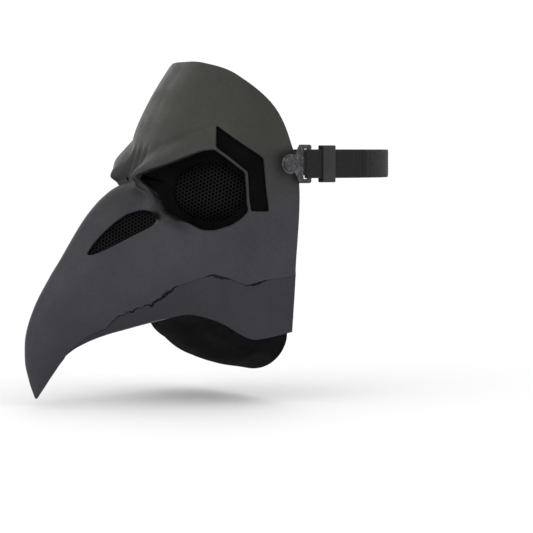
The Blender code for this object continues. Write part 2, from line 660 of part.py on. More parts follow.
def looks_of_pieces():
    return {
        "shell": material("moulded_shell", (0.085, 0.085, 0.082), 0.42),
        "jaw": material("moulded_jaw", (0.045, 0.044, 0.052), 0.45),
        "strip": material("joining_strip", (0.02, 0.02, 0.022), 0.6),
        "liner": material("black_liner", (0.008, 0.008, 0.009), 0.6),
        "mesh": material("black_mesh", (0.012, 0.012, 0.014), 0.5),
        "foam": material("dark_foam", (0.03, 0.03, 0.03), 0.95),
        "cloth": material("chin_cloth", (0.012, 0.012, 0.012), 0.95),
        "elastic": material("elastic_band", (0.015, 0.015, 0.016), 0.85),
        "metal": material("blackened_steel", (0.06, 0.06, 0.065), 0.35, 1.0),
        "plastic": material("black_plastic", (0.02, 0.02, 0.02), 0.4),
    }


SIDES = (("left", False), ("right", True))

for old in list(bpy.data.objects):
    bpy.data.objects.remove(old, do_unlink=True)
parts = bpy.data.collections.new("plague_doctor_mask")
cutters = bpy.data.collections.new("cutters")
for group in (parts, cutters):
    bpy.context.scene.collection.children.link(group)

pieces = looks_of_pieces()
build_face_shell(pieces)
build_lower_jaw(pieces)
build_seam_strips(pieces)
build_eyes(pieces)
build_liners(pieces)
build_pads(pieces)
build_chin_cover(pieces)
build_rivets(pieces)
build_anchors(pieces)
build_strap(pieces)
build_sliders(pieces)
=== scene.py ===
"""How the plague doctor mask looks: fine surfaces, perforated meshes, cloth, foam, elastic and finishes.

The mouldings' form is the frame's own. It runs through the rings below, which are side, back and up from the
bridge of the nose in the form's own millimetres, and it is scaled to the size of the frame's face_shell.
Lengths are in millimetres until a mesh is made.
"""

import math

import bmesh
import bpy
import numpy as np
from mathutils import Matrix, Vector, noise
from mathutils.bvhtree import BVHTree


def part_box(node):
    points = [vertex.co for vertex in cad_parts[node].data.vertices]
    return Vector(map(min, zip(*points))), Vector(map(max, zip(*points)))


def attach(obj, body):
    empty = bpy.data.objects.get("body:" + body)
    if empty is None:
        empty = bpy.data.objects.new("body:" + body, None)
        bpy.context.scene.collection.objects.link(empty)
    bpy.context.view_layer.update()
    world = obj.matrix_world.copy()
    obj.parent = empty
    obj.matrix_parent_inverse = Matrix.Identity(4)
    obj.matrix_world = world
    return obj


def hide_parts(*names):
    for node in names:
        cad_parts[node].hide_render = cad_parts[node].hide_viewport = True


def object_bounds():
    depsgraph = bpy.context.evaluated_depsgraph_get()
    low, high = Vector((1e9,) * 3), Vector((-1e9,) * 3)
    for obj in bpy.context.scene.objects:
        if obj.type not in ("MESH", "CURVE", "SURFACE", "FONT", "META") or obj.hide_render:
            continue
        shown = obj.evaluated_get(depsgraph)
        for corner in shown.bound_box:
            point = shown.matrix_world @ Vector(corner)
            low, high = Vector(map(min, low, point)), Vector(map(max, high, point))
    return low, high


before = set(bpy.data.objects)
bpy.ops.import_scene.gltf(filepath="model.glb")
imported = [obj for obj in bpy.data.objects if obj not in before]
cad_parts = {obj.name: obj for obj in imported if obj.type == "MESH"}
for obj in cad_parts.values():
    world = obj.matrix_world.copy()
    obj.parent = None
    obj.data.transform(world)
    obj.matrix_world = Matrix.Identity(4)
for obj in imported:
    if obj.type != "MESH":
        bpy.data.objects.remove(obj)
CAD_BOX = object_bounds()
MM = 0.001
SIDES = (("left", 1), ("right", -1))

# The form ------------------------------------------------------------------------------------------------

RINGS = np.array(
    [
        [(0, -66.5, -151)] * 7,
        [(0, -70.9, -138), (2.6, -69.6, -138.3), (4, -67, -139), (4.3, -64.6, -139.5),
         (4, -62.6, -140), (3.4, -61, -140.4), (2.4, -60.2, -140.8)],
        [(0, -74.2, -122), (4, -72.4, -122.8), (6.5, -68, -124.5), (7.4, -63.6, -126.4),
         (7.2, -59.4, -128.2), (6.4, -56, -129.8), (5.2, -54.4, -130.8)],
        [(0, -73.5, -104), (5.2, -71, -105.6), (9, -66, -108.5), (10.6, -60.2, -112.3),
         (10.6, -54.6, -116.4), (9.6, -50, -120.3), (8.6, -49.2, -122.3)],
        [(0, -66.7, -84.8), (6.2, -64, -88), (11.2, -59.2, -94), (13.8, -53.6, -100.7),
         (14.3, -48.4, -107.1), (13.6, -43.8, -112.7), (12.2, -42.2, -115.9)],
        [(0, -56.6, -67.4), (7.2, -54.6, -71), (13.6, -50, -78.6), (17.6, -44.6, -87.6),
         (19.2, -39.2, -96.6), (18.5, -34.1, -105), (16.5, -32.2, -110.2)],
        [(0, -47, -52.5), (8, -44.8, -57), (15.6, -39.9, -65.6), (21, -33.7, -76.4),
         (23.8, -27.6, -87.3), (23.5, -21.7, -97.6), (20.5, -18.3, -105)],
        [(0, -37.5, -37.8), (8.6, -35.2, -42.6), (16.8, -30, -51.8), (23.6, -23.4, -64),
         (27.8, -16.6, -76), (28.5, -10.2, -88.2), (25.5, -5.8, -101.4)],
        [(0, -27.5, -23.5), (9.2, -25.4, -28.6), (17.4, -20.6, -39), (25.4, -13.4, -54),
         (32, -6.8, -70), (34, -0.2, -84.7), (31, 5.5, -98.1)],
        [(0, -16, -11.2), (9.8, -14, -15.6), (18.2, -9.4, -26.4), (26.8, -2.4, -41),
         (35.4, 4, -58), (41, 9.5, -74.9), (39, 17.1, -94.4)],
        [(0, -5, -3), (10.5, -2.4, -7), (19.5, 3, -16.5), (29.5, 10, -31),
         (40, 15, -49), (48.5, 19.7, -67.9), (48, 28.1, -91.7)],
        [(0, 7, 3), (11.5, 7.5, -0.5), (22, 11, -9), (34, 17.5, -23),
         (46.5, 24, -42), (55.5, 29.4, -63.7), (57, 38.2, -93.8)],
        [(0, 13, 14), (13, 13.5, 12.5), (28, 17, 6), (43, 24.5, -12),
         (54.5, 32.5, -36), (61.5, 38.9, -62.3), (64, 47.9, -98.5)],
        [(0, 17, 28), (16, 18, 27.5), (35, 24.5, 22), (52, 35, 4),
         (62, 43, -28), (66.5, 48, -66.2), (69, 57.2, -105.1)],
        [(0, 24.5, 45), (20, 26, 44.5), (42, 33.5, 39), (60, 47, 22),
         (68, 54.5, -15), (71, 57.6, -70), (72.5, 64.4, -108.4)],
        [(0, 35, 65.5), (23, 37.5, 64.5), (47.5, 47, 57), (66, 62, 38),
         (74, 69, -8), (74.5, 66.1, -68.6), (75, 73.1, -108)],
        [(0, 50, 87), (25.5, 53, 85.5), (52, 64.5, 76.5), (72, 86, 50),
         (79.5, 98, 4), (79, 96, -58), (77, 94, -104)],
    ],
    float,
)
LAST_RING = len(RINGS) - 1
FIRST_RING = 0.15
JAW_EDGE = 6.0
FLOOR_LINE = 7.0
KEEL = 0.12
RIVET_POINT = np.array([0.0, 88.0, 14.0])
CHIN_RING = 9.1

SIGHT = math.radians(60)
ACROSS = np.array([math.cos(SIGHT), math.sin(SIGHT), 0.0])
TOWARDS = np.array([math.sin(SIGHT), -math.cos(SIGHT), 0.0])
UP = np.array([0.0, 0.0, 1.0])

# Outlines on the upright plane that faces 60 degrees round from the front: across, up
EYE_OPENING = [
    (13.5, 5.5), (23, 9.5), (33.3, 13.3), (42, 17), (49, 19.9), (57.6, 23.2), (66, 24.2), (76.5, 16),
    (87, 8), (88, -4), (88.3, -13), (89.3, -18.8), (84.5, -24), (77.6, -28.4), (66.2, -31.9),
    (57.7, -31.9), (49, -27.7), (38.3, -23.3), (30.5, -18), (27, -11.5), (22, -4.2), (14, 1.4),
]
TEMPLE_WINDOW = [
    (67, 41), (100, 18), (102, -4), (104, -19), (91.4, -18.8), (90.2, -10), (89.2, 8.6), (67.3, 25.8),
]
NOSTRIL = [
    (-22.7, -48.6), (-17.7, -41), (-11.5, -34.1), (-2.7, -25.9), (4.8, -20.9), (13.6, -18.1),
    (19.8, -18.5), (24.8, -20.9), (26, -23.8), (23, -29), (16.7, -32.2), (10.4, -35.4), (1, -40.3),
    (-7.7, -44.7), (-15.2, -48.2), (-20.3, -49.4),
]
# The parting line of the two mouldings seen from the side: back, up
MOUTH = [
    (-62, -150), (-51, -127), (-46.4, -115.6), (-33.8, -105), (-23.2, -101), (-17.5, -93.1),
    (-3.7, -86.7), (6.4, -82.4), (14.6, -73.3), (20.9, -70.1), (39.3, -62.4), (48.3, -65.1),
    (60, -70.4), (73.3, -66.9), (140, -60),
]
# The lowest line of the chin cloth seen from the side, from its front end: back, up
CHIN_LINE = [(20.5, -97.5), (30, -96), (38, -100), (45, -110), (54, -119), (66, -126), (80, -132), (98, -135)]

# Walls and edges
WALL = 2.5
EDGE_ROUND = 0.8
JAW_RECESS = 0.8
SEAM = 0.07
RIVET_BORE = 2.3
# In front of this ring the beak's tip is solid
TIP_RING = 2.4
# The length of skin between the last two rings
LAST_STEP = 27.0
# An opening counts only where the skin is nearer than this to the viewer of its outline
NEAR_SIDE = -6.0
# What a field says where its outline doesn't count
FAR = 50.0


def smooth(low, high, value):
    """0 below low, 1 above high, with a soft change between."""
    share = np.clip((np.asarray(value, float) - low) / (high - low), 0, 1)
    return share * share * (3 - 2 * share)


def bell(value, width):
    return np.exp(-((value / width) ** 2))


def unit(vectors):
    return vectors / np.maximum(np.linalg.norm(vectors, axis=-1, keepdims=True), 1e-12)


def row_weights(at, count):
    """For a curve through count rows with one more at each end: the first row used, and the four shares."""
    at = np.clip(at, 0, count - 1 - 1e-9)
    index = np.floor(at).astype(int)
    t = at - index
    shares = [-t + 2 * t**2 - t**3, 2 - 5 * t**2 + 3 * t**3, t + 4 * t**2 - 3 * t**3, -(t**2) + t**3]
    return index, np.stack(shares, axis=-1) / 2


def extended_rings():
    """The table with a mirrored line before the ridge and a run-out past every other side."""
    table = np.concatenate([2 * RINGS[:1] - RINGS[1:2], RINGS, 2 * RINGS[-1:] - RINGS[-2:-1]])
    before = table[:, 1:2] * np.array([-1, 1, 1])
    after = 2 * table[:, -1:] - table[:, -2:-1]
    return np.concatenate([before, table, after], axis=1)


TABLE = extended_rings()


def side_skin(rings, lines):
    """The plain form at scattered places, from the ridge to the jaw edge."""
    row, row_shares = row_weights(rings, LAST_RING + 1)
    column, column_shares = row_weights(lines, int(JAW_EDGE) + 1)
    found = np.zeros((len(rings), 3))
    for i in range(4):
        for j in range(4):
            found += (row_shares[:, i] * column_shares[:, j])[:, None] * TABLE[row + i, column + j]
    return found


def floor_skin(rings, share):
    """The underside, share 1 at the jaw edge and 0 on the mirror plane."""
    edge = side_skin(rings, np.full(len(rings), JAW_EDGE))
    drop = edge[:, :1] * KEEL * (1 - share[:, None] ** 2)
    return edge * np.stack([share, 1 + 0 * share, 1 + 0 * share], axis=1) - drop * UP


def plain_skin(at):
    """The plain form over the jaw edge too, which it rounds where there is an underside."""
    rings, lines = at[:, 0], at[:, 1]
    found = side_skin(rings, np.minimum(lines, JAW_EDGE))
    under = lines > JAW_EDGE
    if under.any():
        found[under] = floor_skin(rings[under], FLOOR_LINE - lines[under])
    start, end = JAW_EDGE - 0.25, JAW_EDGE + 0.2
    near = (lines > start) & (lines < end) & (rings < CHIN_RING)
    if near.any():
        ring = rings[near]
        q = ((lines[near] - start) / (end - start))[:, None]
        a = side_skin(ring, np.full(len(ring), start))
        b = floor_skin(ring, np.full(len(ring), FLOOR_LINE - end))
        corner = side_skin(ring, np.full(len(ring), JAW_EDGE))
        eased = (1 - q) ** 2 * a + 2 * q * (1 - q) * corner + q**2 * b
        share = smooth(CHIN_RING, CHIN_RING - 0.8, ring)[:, None]
        found[near] = found[near] * (1 - share) + eased * share
    return found


def sight_of(points):
    """Across, up and towards on the sight plane."""
    return points @ ACROSS, points[..., 2], points @ TOWARDS


def sculpt(points, fine):
    """The brows, the frown's folds and the small hollows, added to plain skin points."""
    side, up = points[..., 0], points[..., 2]
    across, _, towards = sight_of(points)
    inner = 1 - smooth(16, 27, side)
    brow_level = 9 + 0.34 * (side - 20) - 2.6 * inner
    below = 6 + 1.5 * smooth(20, 32, side)
    rise = np.where(up > brow_level, (up - brow_level) / 11.5, (up - brow_level) / below)
    reach = 10.5 + 2.5 * inner if fine else 6.5 + 2.5 * inner
    brow = reach * smooth(7, 17, side) * (1 - 0.75 * smooth(28, 66, side)) * np.exp(-np.abs(rise) ** 2.2)
    turn = math.radians(50) * smooth(20, 60, side)
    forward = brow * np.cos(turn)
    if fine:
        fold = 1.5 * np.cos((side - 4.6) * math.tau / 8.6) * (1 - smooth(10, 17, side))
        forward = forward + fold * smooth(0, 5, up) * (1 - smooth(16, 30, up))
        forward = forward - 1.7 * bell(up - 1.5, 2.6) * (1 - smooth(12, 22, side))
        along = (across - 15) * 0.76 - (up + 4) * 0.65
        off = (across - 15) * 0.65 + (up + 4) * 0.76
        on_side = smooth(2, 6, side) * (towards > -8)
        forward = forward - 1.6 * bell(along, 6.5) * bell(off + 1.5, 2.6) * on_side
        forward = forward + 0.7 * bell(along, 7.0) * bell(off - 2.2, 1.2) * on_side
        gash = smooth(59, 63, points[..., 1]) * (1 - smooth(73, 76, points[..., 1])) * smooth(40, 50, side)
        forward = forward - 1.7 * gash * bell(up + 54.4 - 0.4 * (points[..., 1] - 61), 1.5)
        crease = np.interp(across, [10, 17.5, 34.3, 49.7, 65.8, 80], [20, 22.4, 27.3, 34.3, 39.2, 44])
        forward = forward - 1.3 * bell(up - crease, 3.0) * smooth(12, 22, side) * (1 - smooth(56, 72, across))
    return points + np.stack([brow * np.sin(turn), -forward, 0 * up], axis=-1)


def fitted_scale():
    """How far the form is stretched along each axis to fill the frame's upper moulding."""
    low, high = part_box("face_shell")
    rings, lines = np.meshgrid(np.linspace(FIRST_RING, LAST_RING, 120), np.linspace(0, JAW_EDGE, 80))
    form = sculpt(plain_skin(np.stack([rings.ravel(), lines.ravel()], axis=1)), False)
    span = form.max(axis=0) - form.min(axis=0)
    sides = np.array([(high.x - low.x) / 2, high.y - low.y, high.z - low.z]) / MM
    span[2] = form[:, 2].max() - RINGS[0, 0, 2]
    return sides / span


SCALE = fitted_scale()


def to_frame(points):
    return (np.asarray(points, float) - RIVET_POINT) * SCALE


def skin(at, fine=True):
    return to_frame(sculpt(plain_skin(at), fine))


def outward(at, fine=True):
    """The skin's outward direction, from small steps along the rings and lines."""
    step = 0.02
    low, high = np.array([FIRST_RING, 0.0]), np.array([LAST_RING, FLOOR_LINE])
    moves = []
    for axis in (0, 1):
        ahead, back = at.copy(), at.copy()
        ahead[:, axis] = np.minimum(ahead[:, axis] + step, high[axis])
        back[:, axis] = np.maximum(back[:, axis] - step, low[axis])
        moves.append(skin(ahead, fine) - skin(back, fine))
    along, around = moves
    on_plane = (at[:, 1] < 1e-6) | (at[:, 1] > FLOOR_LINE - 1e-6)
    along[on_plane, 0] = 0
    around[on_plane, 1:] = 0
    return unit(np.cross(around, along))


# Outlines as fields ---------------------------------------------------------------------------------------


def eased(outline, step=4.0, passes=2, closed=True):
    """An outline with more points and its corners taken off a little."""
    points = np.asarray(outline, float)
    ends = np.roll(points, -1, axis=0) if closed else points[1:]
    found = []
    for a, b in zip(points, ends):
        count = max(1, math.ceil(np.linalg.norm(b - a) / step))
        found += [a + (b - a) * k / count for k in range(count)]
    if not closed:
        found.append(points[-1])
    points = np.array(found)
    for _ in range(passes):
        ahead = np.roll(points, -1, axis=0) if closed else points[1:]
        here = points if closed else points[:-1]
        cut = np.stack([0.75 * here + 0.25 * ahead, 0.25 * here + 0.75 * ahead], axis=1).reshape(-1, 2)
        points = cut if closed else np.concatenate([points[:1], cut, points[-1:]])
    return points


def nearest(points, line, closed):
    """Distance from each point to a line of straight pieces."""
    starts = line if closed else line[:-1]
    ends = np.roll(line, -1, axis=0) if closed else line[1:]
    best = np.full(len(points), np.inf)
    for a, b in zip(starts, ends):
        ahead = b - a
        share = np.clip((points - a) @ ahead / max(ahead @ ahead, 1e-12), 0, 1)
        best = np.minimum(best, np.linalg.norm(points - a - share[:, None] * ahead, axis=1))
    return best


def outside(points, outline):
    """Distance from an outline, positive outside it."""
    inside = np.zeros(len(points), bool)
    for (ax, ay), (bx, by) in zip(outline, np.roll(outline, -1, axis=0)):
        crosses = (ay > points[:, 1]) != (by > points[:, 1])
        with np.errstate(divide="ignore", invalid="ignore"):
            at = ax + (points[:, 1] - ay) / (by - ay) * (bx - ax)
        inside ^= crosses & (points[:, 0] < at)
    return nearest(points, outline, True) * np.where(inside, -1, 1)


EYE_LINE = eased(EYE_OPENING, 5.0)
WINDOW_LINE = eased(TEMPLE_WINDOW, 3.0)
NOSTRIL_LINE = eased(NOSTRIL, 8.0)


def mouth_line():
    """The parting line with the small steps of its ragged front part."""
    line = eased(MOUTH, 3.0, 1, closed=False)
    ragged = smooth(-36, -24, line[:, 0]) * (1 - smooth(16, 24, line[:, 0]))
    wave = np.sin(line[:, 0] * 1.15) + 0.6 * np.sin(line[:, 0] * 2.3 + 1.0)
    line[:, 1] += ragged * wave * 0.75
    return line


MOUTH_LINE = mouth_line()


def above_mouth(points):
    """Distance from the parting line, positive above it."""
    seen = points[:, 1:]
    level = np.interp(seen[:, 0], MOUTH_LINE[:, 0], MOUTH_LINE[:, 1])
    return nearest(seen, MOUTH_LINE, False) * np.sign(seen[:, 1] - level)


def opening_field(points, outline, nearest_towards):
    across, up, towards = sight_of(points)
    field = outside(np.stack([across, up], axis=1), outline)
    return np.where(towards > nearest_towards, field, FAR)


def gashes(points):
    """How much wider the parting line is at each of its torn places."""
    back = points[:, 1]
    wide = 2.6 * bell(back - 43, 5.2) + 2.0 * bell(back - 67, 5.4)
    wide = wide + 2.9 * bell(back - 13.8, 3.8) + 2.1 * bell(back - 5.5, 3.4) + 1.0 * bell(back + 6, 2.4)
    torn = 0.75 + 0.25 * np.sin(back * 2.9) * np.cos(back * 1.3 + 0.7)
    return (wide + 0.5 * bell(back + 22, 14)) * torn


def shell_field(at):
    """How far inside the upper moulding's edges a place on the skin is."""
    points = sculpt(plain_skin(at), False)
    fields = [above_mouth(points)]
    for outline, towards in ((EYE_LINE, NEAR_SIDE), (WINDOW_LINE, NEAR_SIDE), (NOSTRIL_LINE, -2.0)):
        fields.append(opening_field(points, outline, towards))
    bore = np.hypot(points[:, 1] - RIVET_POINT[1], points[:, 2] - RIVET_POINT[2]) - RIVET_BORE
    fields.append(np.where(points[:, 0] > 20, bore, FAR))
    return np.minimum.reduce(fields)


def jaw_field(at):
    points = sculpt(plain_skin(at), False)
    below = -above_mouth(points) - SEAM - gashes(points)
    floor = np.maximum((JAW_EDGE - at[:, 1]) * 9.0, (CHIN_RING - at[:, 0]) * 12.0)
    return np.minimum(below, floor)


# Surfaces from places on the skin --------------------------------------------------------------------------


def spread(stops, counts):
    """Numbers from the first stop to the last, with so many steps between each two."""
    parts = [np.linspace(a, b, n, endpoint=False) for a, b, n in zip(stops, stops[1:], counts)]
    return np.concatenate(parts + [stops[-1:]])


def grid(rings, lines):
    """Places and triangles of a net over the skin."""
    at = np.stack(np.meshgrid(rings, lines, indexing="ij"), axis=-1).reshape(-1, 2)
    rows, columns = len(rings), len(lines)
    first = (np.arange(rows - 1)[:, None] * columns + np.arange(columns - 1)).reshape(-1)
    a, b, c, d = first, first + 1, first + columns + 1, first + columns
    return at, np.concatenate([np.stack([a, b, c], axis=1), np.stack([a, c, d], axis=1)])


def split(at, triangles, field):
    """Triangles divided along the line where the field is zero, which they then never cross."""
    value = field(at)
    value = np.where(np.abs(value) < 1e-7, 1e-7, value)
    pairs = np.sort(triangles[:, [[0, 1], [1, 2], [2, 0]]].reshape(-1, 2), axis=1)
    edges, which = np.unique(pairs, axis=0, return_inverse=True)
    which = which.reshape(-1, 3)
    low, high = at[edges[:, 0]].copy(), at[edges[:, 1]].copy()
    crossed = value[edges[:, 0]] * value[edges[:, 1]] < 0
    low, high = low[crossed], high[crossed]
    at_low = value[edges[crossed, 0]]
    for _ in range(9):
        middle = (low + high) / 2
        same = (field(middle) * at_low > 0)[:, None]
        low, high = np.where(same, middle, low), np.where(same, high, middle)
    made = np.full(len(edges), -1)
    made[crossed] = len(at) + np.arange(crossed.sum())
    at = np.concatenate([at, (low + high) / 2])
    above = value[triangles] > 0
    found = [triangles[above.all(axis=1) | (~above).all(axis=1)]]
    for k in range(3):
        alone = above[:, k] & ~above[:, (k + 1) % 3] & ~above[:, (k + 2) % 3]
        alone |= ~above[:, k] & above[:, (k + 1) % 3] & above[:, (k + 2) % 3]
        a, b, c = triangles[alone, k], triangles[alone, (k + 1) % 3], triangles[alone, (k + 2) % 3]
        ab, ca = made[which[alone, k]], made[which[alone, (k + 2) % 3]]
        found += [np.stack(t, axis=1) for t in ((a, ab, ca), (ab, b, c), (ab, c, ca))]
    return at, np.concatenate(found)


def clipped(at, triangles, field, steps=()):
    """The part of a net where the field is positive, with extra lines at some distances from its edge."""
    at, triangles = split(at, triangles, field)
    middle = at[triangles].mean(axis=1)
    triangles = triangles[field(middle) > 0]
    used, index = np.unique(triangles, return_inverse=True)
    at, triangles = at[used], index.reshape(-1, 3)
    for step in steps:
        at, triangles = split(at, triangles, lambda places, step=step: field(places) - step)
    corners = at[triangles]
    a, b = corners[:, 1] - corners[:, 0], corners[:, 2] - corners[:, 0]
    return at, triangles[np.abs(a[:, 0] * b[:, 1] - a[:, 1] * b[:, 0]) > 1e-10]


def border(triangles):
    """The directed edges that only one triangle has."""
    edges = triangles[:, [[0, 1], [1, 2], [2, 0]]].reshape(-1, 2)
    _, index, count = np.unique(np.sort(edges, axis=1), axis=0, return_inverse=True, return_counts=True)
    return edges[count[index.reshape(-1)] == 1]


def walled(outer, inner, triangles):
    """A closed solid from a surface and its inner copy, as points and triangles."""
    count = len(outer)
    edges = border(triangles)
    flat = np.abs(outer[edges][..., 0]).max(axis=1) < 1e-6
    a, b = edges[~flat].T
    sides = np.concatenate([np.stack([b, a, a + count], axis=1), np.stack([b, a + count, b + count], axis=1)])
    return np.concatenate([outer, inner]), np.concatenate([triangles, triangles[:, ::-1] + count, sides])


def both_halves(points, triangles):
    """A left half and its mirror image, welded where they meet, and which point of the half each one is."""
    count = len(points)
    flipped = points * np.array([-1, 1, 1])
    points = np.concatenate([points, flipped])
    triangles = np.concatenate([triangles, triangles[:, ::-1] + len(flipped)])
    _, first, index = np.unique(np.round(points, 4), axis=0, return_index=True, return_inverse=True)
    triangles = index.reshape(-1)[triangles]
    a, b, c = triangles.T
    return points[first], triangles[(a != b) & (b != c) & (c != a)], first % count


def undulated(points, normals, size, reach):
    """The points moved in and out a little, for slow hand-worked unevenness."""
    out = [noise.noise(Vector(p) / size) * 0.7 + noise.noise(Vector(p) / size * 2.7) * 0.3 for p in points]
    return points + normals * (np.array(out) * reach)[:, None]


# Making pieces --------------------------------------------------------------------------------------------


def made_mesh(name, points, faces, look, sharp=None):
    mesh = bpy.data.meshes.new(name)
    mesh.from_pydata((np.asarray(points, float) * MM).tolist(), [], [tuple(int(k) for k in f) for f in faces])
    mesh.materials.append(look)
    mesh.shade_smooth()
    if sharp is not None:
        mesh.set_sharp_from_angle(angle=math.radians(sharp))
    made = bpy.data.objects.new(name, mesh)
    bpy.context.scene.collection.objects.link(made)
    return made


def outwards(made):
    """Turns every face of a closed mesh to the outside."""
    shaped = bmesh.new()
    shaped.from_mesh(made.data)
    bmesh.ops.remove_doubles(shaped, verts=shaped.verts, dist=1e-6)
    bmesh.ops.recalc_face_normals(shaped, faces=shaped.faces)
    shaped.to_mesh(made.data)
    shaped.free()
    return made


def placed(made, body, nodes):
    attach(made, body)
    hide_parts(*nodes)
    return made


def mirrored(points, sign):
    return np.asarray(points, float) * np.array([sign, 1, 1])


def loop_faces(rows, size, closed_rows=False):
    """Faces between loops of points, with a cap at each end where the rows don't close."""
    faces = []
    for r in range(rows if closed_rows else rows - 1):
        for k in range(size):
            a, b = r * size + k, r * size + (k + 1) % size
            n = (r + 1) % rows
            faces.append((a, b, n * size + (k + 1) % size, n * size + k))
    if not closed_rows:
        faces += [tuple(range(size)), tuple(range((rows - 1) * size, rows * size))]
    return faces


# Materials ------------------------------------------------------------------------------------------------


class Look:
    """A material whose nodes are added one by one, in the object's own space, in metres."""

    def __init__(self, name, roughness=0.5, metallic=0.0, specular=0.5):
        self.made = bpy.data.materials.new(name)
        self.made.use_nodes = True
        self.nodes, self.links = self.made.node_tree.nodes, self.made.node_tree.links
        self.shader = self.nodes["Principled BSDF"]
        self.shader.inputs["Roughness"].default_value = roughness
        self.shader.inputs["Metallic"].default_value = metallic
        self.shader.inputs["Specular IOR Level"].default_value = specular
        self.place = self.nodes.new("ShaderNodeTexCoord").outputs["Object"]

    def set(self, **values):
        for name, value in values.items():
            self.shader.inputs[name.replace("_", " ")].default_value = value

    def noise(self, scale, detail=3.0, rough=0.5, stretch=None):
        node = self.nodes.new("ShaderNodeTexNoise")
        node.inputs["Scale"].default_value = scale
        node.inputs["Detail"].default_value = detail
        node.inputs["Roughness"].default_value = rough
        place = self.place
        if stretch:
            mapping = self.nodes.new("ShaderNodeMapping")
            mapping.inputs["Scale"].default_value = stretch
            self.links.new(place, mapping.inputs["Vector"])
            place = mapping.outputs["Vector"]
        self.links.new(place, node.inputs["Vector"])
        return node.outputs["Fac"]

    def ramp(self, value, stops):
        node = self.nodes.new("ShaderNodeValToRGB")
        ramp = node.color_ramp
        while len(ramp.elements) < len(stops):
            ramp.elements.new(0.5)
        for element, (at, colour) in zip(ramp.elements, stops):
            element.position = at
            element.color = (*colour, 1.0)
        self.links.new(value, node.inputs["Fac"])
        return node.outputs["Color"]

    def mix(self, share, first, second, blend="MIX"):
        node = self.nodes.new("ShaderNodeMix")
        node.data_type = "RGBA"
        node.blend_type = blend
        for socket, value in (("Factor", share), ("A", first), ("B", second)):
            self.feed(node.inputs[socket], value)
        return node.outputs["Result"]

    def math(self, operation, *values):
        node = self.nodes.new("ShaderNodeMath")
        node.operation = operation
        for socket, value in zip(node.inputs, values):
            self.feed(socket, value)
        return node.outputs[0]

    def range(self, value, low, high, to_low, to_high):
        node = self.nodes.new("ShaderNodeMapRange")
        node.interpolation_type = "SMOOTHSTEP"
        for socket, given in zip(node.inputs, (value, low, high, to_low, to_high)):
            self.feed(socket, given)
        return node.outputs["Result"]

    def axis(self, name):
        node = self.nodes.new("ShaderNodeSeparateXYZ")
        self.links.new(self.place, node.inputs[0])
        return node.outputs[name]

    def feed(self, socket, value):
        if isinstance(value, bpy.types.NodeSocket):
            self.links.new(value, socket)
        elif isinstance(value, tuple):
            socket.default_value = (*value, 1.0)
        else:
            socket.default_value = value

    def colour(self, value):
        self.feed(self.shader.inputs["Base Color"], value)

    def rough(self, value):
        self.feed(self.shader.inputs["Roughness"], value)

    def bump(self, height, distance, strength=1.0, under=None):
        node = self.nodes.new("ShaderNodeBump")
        node.inputs["Distance"].default_value = distance * MM
        node.inputs["Strength"].default_value = strength
        self.links.new(height, node.inputs["Height"])
        if under is not None:
            self.links.new(under, node.inputs["Normal"])
        self.links.new(node.outputs["Normal"], self.shader.inputs["Normal"])
        return node.outputs["Normal"]

    def wave(self, scale, axis):
        node = self.nodes.new("ShaderNodeTexWave")
        node.bands_direction = axis
        node.inputs["Scale"].default_value = scale
        self.links.new(self.place, node.inputs["Vector"])
        return node.outputs["Fac"]


def moulded(name, warm, cool, roughness):
    """Satin moulded rubber: warmer up at the forehead, cooler on the beak, with faint mottling and scuffs,
    and painted shade that darkens the skin towards black round the eye openings.
    """
    look = Look(name, roughness, specular=0.25)
    height = look.range(look.axis("Z"), -0.06, 0.03, 0.0, 1.0)
    base = look.mix(height, cool, warm)
    mottle = look.ramp(look.noise(26.0, 4.0, 0.6), [(0.3, (0.86, 0.86, 0.87)), (0.7, (1.14, 1.13, 1.11))])
    base = look.mix(1.0, base, mottle, "MULTIPLY")
    specks = look.ramp(look.noise(420.0, 2.0, 0.5), [(0.34, (0.9, 0.9, 0.9)), (0.55, (1.0, 1.0, 1.0))])
    base = look.mix(1.0, base, specks, "MULTIPLY")
    scratches = look.noise(60.0, 6.0, 0.75, stretch=(1.0, 1.0, 4.0))
    scuff = look.ramp(scratches, [(0.66, (0, 0, 0)), (0.8, (1, 1, 1))])
    base = look.mix(look.math("MULTIPLY", scuff, 0.18), base, (0.16, 0.16, 0.165))
    # Painted shade: the skin is mixed towards near black where the eye sockets' shadow falls, read from the
    # mesh attribute and made patchy by noise.
    shade = look.nodes.new("ShaderNodeAttribute")
    shade.attribute_name = "painted_socket_shade"
    patchy = look.range(look.noise(300.0, 4.0, 0.65), 0.3, 0.7, 0.8, 1.1)
    shade = look.math("MULTIPLY", shade.outputs["Fac"], patchy)
    look.colour(look.mix(shade, base, (0.003, 0.003, 0.0035)))
    grain = look.noise(900.0, 3.0, 0.6)
    uneven = look.noise(34.0, 3.0, 0.5)
    look.rough(look.range(look.noise(70.0, 4.0, 0.6), 0.3, 0.7, roughness - 0.07, roughness + 0.09))
    slow = look.bump(uneven, 0.9, 0.35)
    look.bump(grain, 0.12, 0.35, under=slow)
    return look.made


def black_moulded(name, colour, roughness, grain=1200.0, specular=0.3):
    """Plain black plastic, cloth or thread with slow changes of tone and a fine grain."""
    look = Look(name, roughness, specular=specular)
    dark, light = (tuple(share * c for c in colour) for share in (0.8, 1.25))
    look.colour(look.ramp(look.noise(90.0, 3.0), [(0.3, dark), (0.7, light)]))
    look.rough(look.range(look.noise(140.0, 3.0), 0.3, 0.7, roughness - 0.06, roughness + 0.08))
    look.bump(look.noise(grain, 3.0, 0.6), 0.1, 0.4)
    return look.made


def steel():
    look = Look("blackened_steel", 0.38, 1.0)
    worn = look.ramp(look.noise(320.0, 5.0, 0.7), [(0.45, (0.05, 0.05, 0.054)), (0.75, (0.16, 0.16, 0.165))])
    look.colour(worn)
    look.rough(look.range(look.noise(500.0, 4.0), 0.3, 0.7, 0.3, 0.5))
    look.bump(look.noise(1500.0, 3.0), 0.05, 0.4)
    return look.made


